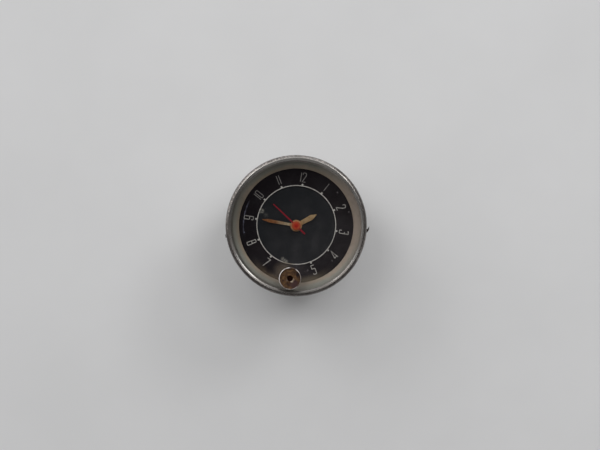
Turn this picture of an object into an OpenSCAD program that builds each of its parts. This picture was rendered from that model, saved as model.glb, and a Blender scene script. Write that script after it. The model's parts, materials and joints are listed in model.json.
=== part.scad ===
// Car dashboard clock: a round panel instrument with an electrically rewound balance movement.
// Millimetres. +Z is the clock's axis towards the viewer and +Y points to twelve o'clock.
// The origin lies on the axis, in the plane of the bezel's rear lip, which seats on the panel.

/* [Case and bezel] */
// Outside diameter of the barrel, which passes through the panel hole
barrel_d = 52; // [51:0.5:54]
// Depth of the case behind the panel face
case_depth = 36; // [34:0.5:44]
// Sheet thickness of the case
case_wall = 0.8; // [0.6:0.1:1]
// Radius of the rounded edge at the back of the case
case_corner_r = 2.4; // [1.5:0.1:3]
// How far the bezel's rolled rim reaches past the barrel all round
bezel_reach = 4; // [3.8:0.1:5]
// Sheet thickness of the bezel
bezel_wall = 0.6; // [0.4:0.1:0.7]
// How far the rolled rim stands out past the bezel's flank
rim_step = 0.4; // [0.2:0.1:0.5]
// Width of the bezel's front edge, from the glass to the flank
bead_width = 2.3; // [2:0.1:2.5]
// Thickness of the glass
lens_t = 1.6; // [1:0.1:2.5]
// Thickness of the glass seal
gasket_t = 0.5; // [0.3:0.1:1]

/* [Dial and hands] */
// Thickness of the dial sheet
dial_t = 0.6; // [0.5:0.1:0.9]
// Depth of the sunk centre of the dial
dial_sink = 0.25; // [0.1:0.05:0.3]
// Diameter of the sunk centre of the dial
sink_d = 33; // [26:0.5:36]
// How far the sloping ring reaches inside the bezel's lip
ring_reach = 3.1; // [2.6:0.1:3.4]
// How far the dial has turned clockwise in its seat, in degrees
dial_turn = 2.1; // [-3:0.1:3]
// Height between the dial and the glass
hand_room = 4.2; // [4:0.1:6]
// Thickness of the stamped hands
hand_t = 0.25; // [0.2:0.05:0.35]
// Width of the hour hand at its shoulder
hour_hand_w = 2.2; // [1.6:0.1:2.6]
// Width of the minute hand at its shoulder
minute_hand_w = 1.4; // [1.2:0.1:2]
// Width of the second hand at its hub
second_hand_w = 0.7; // [0.6:0.05:1]
// Length of the minute hand from the centre
minute_hand_l = 14.5; // [10:0.1:16]
// Length of the hour hand from the centre
hour_hand_l = 9.8; // [7:0.1:12]
// Length of the second hand from the centre
second_hand_l = 13.3; // [8:0.1:16]
// Length of the second hand's tail from the centre
second_tail_l = 5.1; // [3:0.1:7]
// Hour that the hands show
shown_hour = 1; // [0:1:11]
// Minute that the hands show
shown_minute = 45.3; // [0:0.1:59.9]
// Second that the hands show
shown_second = 50.8; // [0:0.1:59.9]

/* [Setting knob] */
// Diameter of the setting knob
knob_d = 9.2; // [7:0.1:9.6]
// Height of the setting knob
knob_h = 3.2; // [2.8:0.1:5]
// Gap between the knob and the bezel's inner edge, seen from the front
knob_gap = 0.6; // [0.3:0.1:1]
// How far the knob pushes in to set the hands
knob_travel = 1.7; // [1.2:0.1:1.8]
// Diameter of the stem above its pinion
stem_d = 2.4; // [2.2:0.1:2.6]

/* [Movement] */
// Thickness of the two movement plates
plate_t = 1.2; // [1:0.1:1.5]
// Clear height between the plates
plate_gap = 10.8; // [10.8:0.1:12]
// Clear height between the front plate and the dial
motion_room = 3.2; // [3.1:0.1:3.8]
// Thickness of the motion work's wheels
wheel_t = 0.7; // [0.5:0.05:0.8]
// Tooth module of the motion work and the setting wheels
set_module = 0.3; // [0.3:0.005:0.31]
// Distance of the drive arbor from the centre
drive_offset = 9; // [8.8:0.1:9.4]
// Tooth module of the seconds wheel and the escape pinion
fast_module = 0.2; // [0.19:0.005:0.2]
// Outside radius of the balance wheel
balance_r = 7; // [5.5:0.1:7]
// Number of turns of the hairspring
hairspring_turns = 6; // [4:1:7]
// Outside radius of the armature of the rewinding magnet
armature_r = 6.8; // [6:0.1:7]
// Air gap between the armature and the poles
air_gap = 0.4; // [0.3:0.1:0.6]

/* [Terminals and studs] */
// Thread diameter of the mounting studs and the terminal
stud_d = 4; // [3:0.5:4]
// Distance between the two mounting studs
stud_spacing = 32; // [30:0.5:34]
// Height of the mounting studs above the centre
stud_y = 7; // [5:0.5:9]
// Length of the studs outside the case
stud_out = 10; // [8:0.5:16]
// Gap between the terminal's insulator and the inside of the barrel
terminal_edge = 1.2; // [1.2:0.1:2]
// Diameter of the lamp holder's hole
lamp_d = 11; // [9:0.5:11]
// Gap between the lamp holder's hole and the inside of the barrel
lamp_edge = 0.5; // [0.5:0.1:2]

/* [Hidden] */
$fn = 72;

// Clearances
run_gap = 0.05;      // radial gap of a shaft in its bore
seat_gap = 0.02;     // radial gap of a piece fixed on a shaft or in a hole
slip_gap = 0.2;      // gap round a piece that is only dropped in
axial_gap = 0.3;     // gap between wheels that pass each other

// Radii of the case, bezel and glass
barrel_r = barrel_d / 2;
case_in_r = barrel_r - case_wall;
bezel_r = barrel_r + bezel_reach;
flank_r = bezel_r - rim_step;
skirt_in_r = flank_r - bezel_wall;
flange_r = skirt_in_r - slip_gap;
shoulder_r = 0.55 * bead_width;
crest_r = flank_r - shoulder_r;
window_lip_r = flank_r - bead_width;
bevel_slope = 0.4;
rim_round = 0.6;
lip_r = barrel_r + slip_gap;
lens_r = skirt_in_r - slip_gap - 0.1;
window_r = window_lip_r - ring_reach;
knob_offset = window_lip_r - knob_gap - knob_d / 2;

// Levels of the front stack, from the panel face forwards
z_flange = bezel_wall;
z_dial = z_flange + case_wall;
z_face = z_dial + dial_t;
z_lens = z_face + hand_room;
z_gasket = z_lens + lens_t;
z_return = z_gasket + gasket_t;
return_h = 1.3;
bezel_h = z_return + return_h;

// Levels of the movement, from the dial backwards
z_fp1 = z_dial - motion_room;
z_fp0 = z_fp1 - plate_t;
z_bp1 = z_fp0 - plate_gap;
z_bp0 = z_bp1 - plate_t;
z_back = -case_depth;
z_back_in = z_back + case_wall;
plate_r = case_in_r - 0.8;

// Tooth counts of the motion work, the setting train and the going train
cannon_n = 12;
minute_n = 36;
minute_pinion_n = 10;
hour_n = 40;
stem_n = 10;
center_n = 64;
drive_pinion_n = 8;
drive_n = 60;
seconds_pinion_n = 8;
seconds_n = 80;
escape_pinion_n = 8;
escape_n = 16;
ratchet_n = 24;

// Motion work: the minute wheel stands below the centre, and one wheel links it to the stem
addendum = 0.85;
dedendum = 1.25;
motion_offset = pitch_r(cannon_n, set_module) + pitch_r(minute_n, set_module);
hour_module = 2 * motion_offset / (minute_pinion_n + hour_n);
set_span = knob_offset - motion_offset;
setting_n = ceil((set_span - pitch_r(minute_n, set_module) - pitch_r(stem_n, set_module)) / set_module);
minute_to_setting = pitch_r(minute_n, set_module) + pitch_r(setting_n, set_module);
setting_to_stem = pitch_r(setting_n, set_module) + pitch_r(stem_n, set_module);
setting_dy = (pow(minute_to_setting, 2) - pow(setting_to_stem, 2) + pow(set_span, 2)) / (2 * set_span);
setting_dx = sqrt(pow(minute_to_setting, 2) - pow(setting_dy, 2));
minute_at = [0, -motion_offset];
setting_at = [setting_dx, -motion_offset - setting_dy];
stem_at = [0, -knob_offset];
z_motion = z_fp1 + axial_gap;
z_hour_wheel = z_motion + wheel_t + axial_gap;

// Pipes of the hands, one inside the other
seconds_r = 0.5;
center_bore_r = seconds_r + run_gap + 0.03;
center_r = 1;
cannon_bore_r = center_r + run_gap - 0.02;
cannon_pipe_r = 1.4;
hour_bore_r = cannon_pipe_r + run_gap + 0.05;
hour_pipe_r = 2;
hour_hand_lift = 0.75;
minute_hand_lift = 1.9;
second_hand_lift = 2.9;
z_hour_hand = z_face + hour_hand_lift;
z_minute_hand = z_face + minute_hand_lift;
z_second_hand = z_face + second_hand_lift;
hub_h = 0.6;
hub_wall = 0.4;
hour_hub_r = hour_pipe_r + hub_wall + 0.05;
minute_hub_r = 2.3;
second_hub_r = 1.85;
second_hub_t = hand_t + 0.1;

// Going train
drive_at = [0, drive_offset];
center_module = 2 * drive_offset / (center_n + drive_pinion_n);
drive_module = 2 * drive_offset / (drive_n + seconds_pinion_n);
z_center_wheel = z_fp0 - 2.2;
center_wheel_t = 1;
z_drive_wheel = z_fp0 - 5;
train_t = 0.8;
z_seconds_wheel = z_fp0 - 8;
escape_dir = -40;
escape_at = polar(pitch_r(seconds_n, fast_module) + pitch_r(escape_pinion_n, fast_module), escape_dir);
escape_r = 4.2;
z_escape_wheel = z_fp0 - 4.6;
pivot_r = 0.3;
arbor_r = 0.5;
center_hub_r = 2.4;
center_boss_r = 1.6;
train_hub_r = 2;
lever_hub_r = 1.1;
balance_hub_r = 1.4;

// Escapement: the pins of the lever straddle two and a half teeth
pallet_dir = -10;
escape_pitch = 360 / escape_n;
pallet_half = 2.5 * escape_pitch / 2;
pallet_at = escape_at + polar(escape_r / cos(pallet_half), pallet_dir);
pallet_pin_r = 0.2;
pallet_play = 0.12;
lever_dir = 60;
lever_l = balance_r + 1.2;
balance_at = pallet_at + polar(lever_l, lever_dir);
impulse_r = 1.7;
impulse_pin_r = 0.3;
roller_r = 2.2;
z_lever = z_escape_wheel - 1;
z_roller = z_lever - 1;
z_balance = z_bp1 + 1.8;
balance_t = 0.9;
z_hairspring = z_bp1 + 0.7;
hairspring_h = 0.6;
hairspring_in_r = 1.25;
hairspring_out_r = 4.2;
collet_r = 1.1;

// Rewinding magnet behind the back plate
pole_r = armature_r + air_gap;
magnet_t = 3;
z_magnet = z_bp0 - 8.5;
pole_in_x = 6;
pole_out_x = 10.2;
core_y = -6;
core_w = 4;
coil_r = 4.9;
bobbin_r = 5.2;
bobbin_tube_r = 3;
flange_t = 0.8;
post_x = 8.6;
post_ys = [core_y, drive_offset + 4];
armature_turn = 60;
arm_w = 4.4;
armature_hub_r = 2.8;
post_r = 1.5;
ratchet_r = 3.6;
z_ratchet = z_bp0 - 2;
pawl_pin_at = 5.4;
pawl_pin_r = 0.5;
pawl_reach = 42;
spring_anchor = [-13, 3];
spring_post_r = 0.8;
spring_post_h = 5;
// Corner of the armature that meets the contact, and the block and leaf that carry it
arm_corner = drive_at + polar(armature_r, armature_turn + asin(arm_w / 2 / armature_r));
contact_play = 0.25;
contact_h = 0.65;
y_leaf = arm_corner[1] + contact_play + contact_h;
block_x = -5.5;
block_l = 4.5;
block_w = 2.7;

// Fasteners
stud_r = stud_d / 2;
stud_root_r = 0.82 * stud_r;
stud_xs = [-stud_spacing / 2, stud_spacing / 2];
washer_t = 0.8;
nut_t = 3.2;
nut_flats = 7 * stud_d / 4;
sleeve_r = stud_r + 1;
insulator_t = 1;
insulator_r = 5;
terminal_at = [0, -(case_in_r - terminal_edge - insulator_r)];
insulator_neck_r = stud_r + 1.1;
lamp_r = lamp_d / 2;
lamp_dir = 218.7;
lamp_at = polar(case_in_r - lamp_edge - lamp_r, lamp_dir);
lamp_collar_h = 1.2;
pillar_at_r = plate_r - 2.9;
pillar_dirs = [40, 172, 290];
pillar_r = 1.6;
screw_r = 0.9;
screw_head_r = 1.6;
screw_head_t = 0.8;
foot_at_r = plate_r - 4.4;
foot_dirs = [110, 340];
foot_r = 0.7;

// Setting stem, below and above the front plate
stem_r = stem_d / 2;
stem_low_r = 0.9;
z_stem_pinion = z_motion + knob_travel;
z_stem_shoulder = z_stem_pinion + wheel_t + seat_gap;
z_knob = bezel_h + 0.6;
z_stem_top = z_knob + 1;
clip_t = 0.5;
clip_r = 2;
z_clip = z_fp0 - run_gap - clip_t;
thrust_t = 0.4;
thrust_r = 2.2;
z_thrust = z_clip - thrust_t;
stem_spring_l = 4.6;
stem_spring_wire_r = 0.2;
stem_spring_r = 1.6;
z_bridge = z_thrust - stem_spring_l;
bridge_t = 0.8;
bridge_w = 3.2;
bridge_half = 4.4;
z_stem_tail = z_bridge - bridge_t - 0.6;

function polar(r, a) = r * [cos(a), sin(a)];
function pitch_r(n, m) = n * m / 2;
function root_r(n, m) = pitch_r(n, m) - dedendum * m;
function arc(c, r, a0, a1, steps) = [for (i = [0:steps]) c + polar(r, a0 + (a1 - a0) * i / steps)];
// Angle of a tooth of gear B, which lies at direction dir from gear A, whose tooth stands at turn_a
function mesh_turn(turn_a, n_a, dir, n_b) = dir + 180 - (360 / n_b) * ((turn_a - dir) * n_a / 360 + 0.5);
// Tooth outline: root, flank, tip, flank
function gear_points(n, m) = [
    for (i = [0:n - 1], k = [0:3])
        let (pitch = 360 / n, root = root_r(n, m), tip = pitch_r(n, m) + addendum * m)
        polar(k == 0 || k == 3 ? root : tip, (i + [-0.29, -0.09, 0.09, 0.29][k]) * pitch)
];

minute_turn = 90;
cannon_turn = mesh_turn(minute_turn, minute_n, 90, cannon_n);
hour_turn = mesh_turn(minute_turn, minute_pinion_n, 90, hour_n);
setting_dir = atan2(setting_at[1] - minute_at[1], setting_at[0] - minute_at[0]);
setting_turn = mesh_turn(minute_turn, minute_n, setting_dir, setting_n);
stem_dir = atan2(stem_at[1] - setting_at[1], stem_at[0] - setting_at[0]);
stem_turn = mesh_turn(setting_turn, setting_n, stem_dir, stem_n);
drive_pinion_turn = mesh_turn(0, center_n, 90, drive_pinion_n);
seconds_pinion_turn = mesh_turn(90, drive_n, -90, seconds_pinion_n);
escape_pinion_turn = mesh_turn(0, seconds_n, escape_dir, escape_pinion_n);
escape_turn = pallet_dir + pallet_half + escape_pitch / 4;

// Shared shapes

module at(p, z) { translate([p[0], p[1], z]) children(); }

module gear(n, m, h, turn = 0) { linear_extrude(h) rotate(turn) polygon(gear_points(n, m)); }

// A toothed wheel with its spokes crossed out, less its bore
module crossed_wheel(n, m, h, hub_r, bore_r, turn = 0, spokes = 4, rim = 1.5, spoke_w = 1.2) {
    rim_r = root_r(n, m) - rim;
    linear_extrude(h) difference() {
        rotate(turn) polygon(gear_points(n, m));
        difference() {
            circle(rim_r);
            circle(hub_r);
            for (i = [0:spokes - 1]) rotate(i * 360 / spokes)
                translate([0, -spoke_w / 2]) square([rim_r + 1, spoke_w]);
        }
        circle(bore_r);
    }
}

module tube(r, bore, h) {
    difference() {
        cylinder(r = r, h = h);
        translate([0, 0, -1]) cylinder(r = bore, h = h + 2);
    }
}

module hex_nut(flats, bore, h) {
    difference() {
        cylinder(r = flats / sqrt(3), h = h, $fn = 6);
        translate([0, 0, -1]) cylinder(r = bore, h = h + 2);
    }
}

// Closed tube swept along points, each ring square to the path
module sweep(points, wire_r, sides = 6) {
    n = len(points);
    function along(i) = points[min(i + 1, n - 1)] - points[max(i - 1, 0)];
    function side(d) = let (c = cross(d, [0.31, 0.17, 1])) c / norm(c);
    rings = [
        for (i = [0:n - 1])
            let (d = along(i) / norm(along(i)), u = side(d), v = cross(d, u))
            for (k = [0:sides - 1]) points[i] + wire_r * (u * cos(k * 360 / sides) + v * sin(k * 360 / sides))
    ];
    walls = [
        for (i = [0:n - 2], k = [0:sides - 1])
            let (a = i * sides + k, b = i * sides + (k + 1) % sides)
            each [[a, a + sides, b], [b, a + sides, b + sides]]
    ];
    ends = [
        [for (k = [0:sides - 1]) k],
        [for (k = [sides - 1:-1:0]) (n - 1) * sides + k]
    ];
    polyhedron(rings, concat(walls, ends));
}

// Front of the case

module bezel() {
    rim_c = bezel_r - rim_round;
    shoulder_at = [crest_r, bezel_h - shoulder_r];
    lip_in_r = window_lip_r + bezel_wall;
    profile = concat(
        [[lip_r, 0]],
        arc([rim_c, rim_round], rim_round, -90, acos((flank_r - rim_c) / rim_round), 8),
        arc(shoulder_at, shoulder_r, 0, 90, 16),
        [[window_lip_r, bezel_h - bevel_slope * (crest_r - window_lip_r)]],
        [[window_lip_r, z_return], [lip_in_r, z_return]],
        [[lip_in_r, bezel_h - bezel_wall - bevel_slope * (crest_r - lip_in_r)]],
        arc(shoulder_at, shoulder_r - bezel_wall, 90, 0, 10),
        [[skirt_in_r, z_flange], [lip_r, z_flange]]
    );
    color("silver") {
        rotate_extrude() polygon(profile);
        crimp_tab(4, 0.9);
        crimp_tab(195, 0.35);
    }
}

// A tongue of the rear lip that has sprung out past the rim
module crimp_tab(dir, reach) {
    tab_w = 1.8;
    tab_t = 0.5;
    rotate(dir) translate([skirt_in_r, -tab_w / 2, 0.2]) cube([bezel_r - skirt_in_r + reach, tab_w, tab_t]);
}

module lens() {
    color("lightcyan", 0.4) difference() {
        translate([0, 0, z_lens]) cylinder(r = lens_r, h = lens_t);
        at(stem_at, z_lens - 1) cylinder(r = bush_r() + run_gap, h = lens_t + 2);
    }
}
function bush_r() = stem_r + 0.7;

module lens_gasket() {
    color("dimgray") translate([0, 0, z_gasket]) tube(lens_r, window_lip_r + 0.1, gasket_t);
}

// Sloping ring between the dial and the glass
module spacer_ring() {
    ring_t = 0.55;
    foot_h = 0.35;
    top_r = window_lip_r + 0.1;
    color("gray") rotate_extrude() polygon([
        [window_r, z_face], [window_r, z_face + foot_h], [top_r, z_lens],
        [lens_r, z_lens], [lens_r, z_lens - ring_t], [top_r + ring_t, z_lens - ring_t],
        [window_r + ring_t, z_face + foot_h], [window_r + ring_t, z_face]
    ]);
}

module dial() {
    color("black") difference() {
        translate([0, 0, z_dial]) cylinder(r = flange_r - 0.8, h = dial_t);
        translate([0, 0, z_face - dial_sink]) cylinder(r = sink_d / 2, h = 1);
        translate([0, 0, z_dial - 1]) cylinder(r = hour_pipe_r + slip_gap, h = 3);
        at(stem_at, z_dial - 1) cylinder(r = stem_r + 0.3, h = 3);
    }
}

module dial_feet() {
    color("peru") for (a = foot_dirs)
        at(polar(foot_at_r, a), z_fp0 - 0.6) cylinder(r = foot_r, h = z_dial - z_fp0 + 0.6);
}

module case() {
    neck_r = barrel_r - case_wall / 2;
    in_corner = case_corner_r - case_wall;
    profile = concat(
        [[0, z_back]],
        arc([barrel_r - case_corner_r, z_back + case_corner_r], case_corner_r, -90, 0, 8),
        [[barrel_r, 0], [neck_r, 0], [neck_r, z_flange]],
        [[flange_r, z_flange], [flange_r, z_dial], [case_in_r, z_dial]],
        arc([case_in_r - in_corner, z_back_in + in_corner], in_corner, 0, -90, 8),
        [[0, z_back_in]]
    );
    color("darkgray") difference() {
        union() {
            rotate_extrude() polygon(profile);
            at(lamp_at, z_back_in - 0.1) cylinder(r = lamp_r + case_wall, h = lamp_collar_h + 0.1);
        }
        at(lamp_at, z_back - 1) cylinder(r = lamp_r, h = 5);
        for (x = stud_xs) at([x, stud_y], z_back - 1) cylinder(r = stud_r + slip_gap, h = 3);
        at(terminal_at, z_back - 1) cylinder(r = insulator_neck_r + 0.1, h = 3);
    }
}

// Fasteners at the back

// A stud from z_end up to z_top: the free end has the full thread size, and the root is under its nut
module stud(z_end, z_nut, z_top) {
    free_l = z_nut - 0.3 - z_end;
    translate([0, 0, z_end]) cylinder(r = stud_r, h = free_l);
    translate([0, 0, z_end]) cylinder(r = stud_root_r, h = z_top - z_end);
}

module mounting_studs() {
    color("lightgray") for (x = stud_xs)
        at([x, stud_y], 0) stud(z_back - stud_out, z_back - washer_t - nut_t, z_bp1);
}

module stud_sleeves() {
    color("lightgray") for (x = stud_xs)
        at([x, stud_y], z_back_in) tube(sleeve_r, stud_r + 0.1, z_bp0 - z_back_in);
}

module stud_washers() {
    color("lightgray") for (x = stud_xs)
        at([x, stud_y], z_back - washer_t) tube(2.2 * stud_r, stud_r + 0.15, washer_t);
}

module stud_nuts() {
    color("silver") for (x = stud_xs)
        at([x, stud_y], z_back - washer_t - nut_t) hex_nut(nut_flats, stud_root_r + seat_gap, nut_t);
}

module terminal_stud() {
    head_t = 2;
    color("goldenrod") {
        at(terminal_at, z_back_in + insulator_t) cylinder(r = 2 * stud_r - 0.4, h = head_t, $fn = 6);
        at(terminal_at, 0)
            stud(z_back - stud_out, z_back - insulator_t - washer_t - nut_t, z_back_in + insulator_t + head_t / 2);
    }
}

module terminal_insulator() {
    color("saddlebrown") at(terminal_at, z_back - insulator_t) difference() {
        union() {
            cylinder(r = insulator_r, h = insulator_t);
            cylinder(r = insulator_neck_r, h = insulator_t + case_wall);
        }
        translate([0, 0, -1]) cylinder(r = stud_r + 0.1, h = 5);
    }
}

module terminal_inner_washer() {
    color("saddlebrown") at(terminal_at, z_back_in) tube(insulator_r - 0.4, stud_r + 0.1, insulator_t);
}

module terminal_washer() {
    color("silver") at(terminal_at, z_back - insulator_t - washer_t) tube(2 * stud_r, stud_r + 0.15, washer_t);
}

module terminal_nut() {
    color("goldenrod") at(terminal_at, z_back - insulator_t - washer_t - nut_t)
        hex_nut(nut_flats, stud_root_r + seat_gap, nut_t);
}

// Movement frame

module front_plate() {
    color("khaki") difference() {
        translate([0, 0, z_fp0]) cylinder(r = plate_r, h = plate_t);
        plate_hole([0, 0], center_r + run_gap);
        plate_hole(minute_at, minute_post_r() + seat_gap);
        plate_hole(setting_at, screw_r + seat_gap);
        plate_hole(stem_at, stem_low_r + run_gap);
        plate_hole(drive_at, pivot_r + run_gap);
        plate_hole(escape_at, pivot_r + run_gap);
        plate_hole(pallet_at, pivot_r + run_gap);
        plate_hole(balance_at, pivot_r + run_gap);
        for (a = foot_dirs) plate_hole(polar(foot_at_r, a), foot_r + run_gap);
        for (a = pillar_dirs) plate_hole(polar(pillar_at_r, a), tenon_r() + seat_gap);
        plate_hole(lamp_at, lamp_r + 1);
    }
}
function minute_post_r() = 0.6;
function tenon_r() = 1;

module back_plate() {
    color("khaki") difference() {
        translate([0, 0, z_bp0]) cylinder(r = plate_r, h = plate_t);
        plate_hole([0, 0], pivot_r + run_gap);
        plate_hole(drive_at, drive_arbor_r() + run_gap);
        plate_hole(escape_at, pivot_r + run_gap);
        plate_hole(pallet_at, pivot_r + run_gap);
        plate_hole(balance_at, bush_neck_r() + seat_gap);
        for (x = stud_xs) plate_hole([x, stud_y], stud_root_r + seat_gap);
        for (a = pillar_dirs) plate_hole(polar(pillar_at_r, a), screw_r + seat_gap);
        plate_hole(lamp_at, lamp_r + 1);
    }
}
function drive_arbor_r() = 0.6;
function bush_neck_r() = 0.9;
function bush_head_r() = 1.5;

// A hole right through both plates' levels
module plate_hole(p, r) { at(p, z_bp0 - 1) cylinder(r = r, h = z_fp1 - z_bp0 + 2); }

module pillars() {
    color("gold") for (a = pillar_dirs) at(polar(pillar_at_r, a), z_bp1) difference() {
        union() {
            cylinder(r = pillar_r, h = plate_gap);
            cylinder(r = tenon_r(), h = plate_gap + plate_t);
        }
        translate([0, 0, -1]) cylinder(r = screw_r + seat_gap, h = 5);
    }
}

module screw(h) {
    slot_w = 0.5;
    difference() {
        union() {
            cylinder(r = screw_head_r, h = screw_head_t);
            cylinder(r = screw_r, h = screw_head_t + h);
        }
        translate([-screw_head_r - 1, -slot_w / 2, -1]) cube([2 * screw_head_r + 2, slot_w, 1 + screw_head_t / 2]);
    }
}

module pillar_screws() {
    color("steelblue") for (a = pillar_dirs)
        at(polar(pillar_at_r, a), z_bp0 - screw_head_t) screw(plate_t + 3);
}

// Setting knob, stem and the train to the hands

module setting_knob() {
    rim_t = 0.35;
    floor_t = 0.7 * knob_h;
    boss_r = stem_r + 0.6;
    boss_h = 0.4;
    color("sienna") at(stem_at, z_knob) difference() {
        cylinder(r = knob_d / 2, h = knob_h);
        difference() {
            translate([0, 0, floor_t]) cylinder(r = knob_d / 2 - rim_t, h = knob_h);
            cylinder(r = boss_r, h = floor_t + boss_h);
        }
        translate([0, 0, -1]) cylinder(r = stem_r + seat_gap, h = knob_h + 2);
    }
}

module setting_stem() {
    color("lightgray") {
        at(stem_at, z_stem_tail) cylinder(r = stem_low_r, h = z_stem_shoulder - z_stem_tail + 0.1);
        at(stem_at, z_stem_shoulder) cylinder(r = stem_r, h = z_stem_top - z_stem_shoulder);
    }
}

module setting_pinion() {
    color("gold") at(stem_at, z_stem_pinion) difference() {
        gear(stem_n, set_module, wheel_t, stem_turn);
        translate([0, 0, -1]) cylinder(r = stem_low_r + seat_gap, h = wheel_t + 2);
    }
}

module stem_clip() {
    color("steelblue") at(stem_at, z_clip) difference() {
        tube(clip_r, stem_low_r + seat_gap, clip_t);
        translate([0, -0.5, -1]) cube([clip_r + 1, 1, clip_t + 2]);
    }
}

module stem_washer() {
    color("silver") at(stem_at, z_thrust) tube(thrust_r, stem_low_r + run_gap, thrust_t);
}

module stem_spring() {
    turns = 5;
    steps = 8;
    span = stem_spring_l - 2 * stem_spring_wire_r - 0.1;
    points = [
        for (i = [0:turns * steps]) let (a = i * 360 / steps)
            [stem_spring_r * cos(a), stem_spring_r * sin(a), span * i / (turns * steps)]
    ];
    color("silver") at(stem_at, z_bridge + stem_spring_wire_r + run_gap) sweep(points, stem_spring_wire_r);
}

module stem_bridge() {
    leg_t = 0.8;
    color("khaki") at(stem_at, 0) difference() {
        union() {
            translate([-bridge_half, -bridge_w / 2, z_bridge - bridge_t]) cube([2 * bridge_half, bridge_w, bridge_t]);
            for (s = [0, 1]) mirror([s, 0, 0])
                translate([bridge_half - leg_t, -bridge_w / 2, z_bridge - bridge_t])
                    cube([leg_t, bridge_w, z_fp0 - z_bridge + bridge_t]);
        }
        translate([0, 0, z_bridge - bridge_t - 1]) cylinder(r = stem_low_r + run_gap, h = bridge_t + 2);
    }
}

// Flanged bush that guides the stem through the glass
module stem_bush() {
    flange_h = 0.4;
    color("goldenrod") at(stem_at, z_lens) difference() {
        union() {
            cylinder(r = bush_r(), h = lens_t);
            translate([0, 0, lens_t]) cylinder(r = bush_r() + 0.6, h = flange_h);
        }
        translate([0, 0, -1]) cylinder(r = stem_r + run_gap, h = lens_t + 3);
    }
}

module setting_wheel() {
    root = root_r(setting_n, set_module);
    spoke_w = root / 4;
    color("gold") at(setting_at, z_motion)
        crossed_wheel(setting_n, set_module, wheel_t, root / 2, screw_r + run_gap, setting_turn, 4, root / 4, spoke_w);
}

module setting_wheel_screw() {
    shank = z_motion + wheel_t - z_fp0 + run_gap;
    color("steelblue") at(setting_at, z_fp0) difference() {
        union() {
            cylinder(r = screw_r, h = shank + 0.1);
            translate([0, 0, shank]) cylinder(r = screw_head_r, h = screw_head_t);
        }
        translate([-2, -0.25, shank + screw_head_t / 2]) cube([4, 0.5, 1]);
    }
}

module minute_wheel() {
    pinion_h = z_hour_wheel + wheel_t + 0.2 - z_motion - wheel_t;
    color("gold") at(minute_at, z_motion) difference() {
        union() {
            crossed_wheel(minute_n, set_module, wheel_t, 2, minute_post_r(), minute_turn, 4, 1.1, 1);
            translate([0, 0, wheel_t]) gear(minute_pinion_n, hour_module, pinion_h, minute_turn);
        }
        translate([0, 0, -1]) cylinder(r = minute_post_r() + run_gap, h = pinion_h + wheel_t + 2);
    }
}

module minute_wheel_post() {
    color("lightgray") at(minute_at, z_fp0)
        cylinder(r = minute_post_r(), h = z_hour_wheel + wheel_t + 0.5 - z_fp0);
}

module hour_wheel() {
    color("gold") difference() {
        union() {
            translate([0, 0, z_hour_wheel])
                crossed_wheel(hour_n, hour_module, wheel_t, 2.6, hour_bore_r, hour_turn, 4, 1.1, 1);
            translate([0, 0, z_hour_wheel]) cylinder(r = hour_pipe_r, h = z_hour_hand + hub_h / 2 + 0.2 - z_hour_wheel);
        }
        translate([0, 0, z_hour_wheel - 1]) cylinder(r = hour_bore_r, h = case_depth);
    }
}

module cannon_pinion() {
    color("gold") difference() {
        union() {
            translate([0, 0, z_motion - 0.1]) gear(cannon_n, set_module, wheel_t + 0.2, cannon_turn);
            translate([0, 0, z_fp1 + 0.1]) cylinder(r = cannon_pipe_r, h = z_minute_hand + hub_h / 2 + 0.15 - z_fp1 - 0.1);
        }
        translate([0, 0, z_fp1 - 1]) cylinder(r = cannon_bore_r, h = case_depth);
    }
}

// Hands

// Sword hand along +Y: it widens from the hub to its shoulder and runs to a point
module hand_blade(l, w, tip_l) {
    root_w = 0.75 * w;
    linear_extrude(hand_t) polygon([
        [-root_w / 2, 0], [root_w / 2, 0],
        [w / 2, l - tip_l], [0, l], [-w / 2, l - tip_l]
    ]);
}

module hour_hand() {
    blade_turn = -30 * (shown_hour + shown_minute / 60) - dial_turn;
    color("darkkhaki") translate([0, 0, z_hour_hand]) difference() {
        union() {
            rotate(blade_turn) hand_blade(hour_hand_l, hour_hand_w, 1.1 * hour_hand_w);
            cylinder(r = hour_hub_r, h = hand_t);
            translate([0, 0, -hub_h / 2]) cylinder(r = hour_pipe_r + hub_wall, h = hub_h);
        }
        translate([0, 0, -2]) cylinder(r = hour_pipe_r + seat_gap, h = 4);
    }
}

module minute_hand() {
    blade_turn = -6 * shown_minute - dial_turn;
    color("darkkhaki") translate([0, 0, z_minute_hand]) difference() {
        union() {
            rotate(blade_turn) hand_blade(minute_hand_l, minute_hand_w, 2 * minute_hand_w);
            cylinder(r = minute_hub_r, h = hand_t);
            translate([0, 0, -hub_h / 2]) cylinder(r = cannon_pipe_r + hub_wall, h = hub_h);
        }
        translate([0, 0, -2]) cylinder(r = cannon_pipe_r + seat_gap, h = 4);
    }
}

module second_hand() {
    blade_turn = -6 * shown_second - dial_turn;
    half_w = second_hand_w / 2;
    half_tip = 0.6 * half_w;
    color("red") translate([0, 0, z_second_hand]) difference() {
        union() {
            rotate(blade_turn) linear_extrude(hand_t) polygon([
                [-half_w, -second_tail_l], [half_w, -second_tail_l], [half_w, 0],
                [half_tip, second_hand_l], [-half_tip, second_hand_l], [-half_w, 0]
            ]);
            cylinder(r = second_hub_r, h = second_hub_t);
        }
        translate([0, 0, -2]) cylinder(r = seconds_r + seat_gap, h = 4);
    }
}

// Going train

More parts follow.
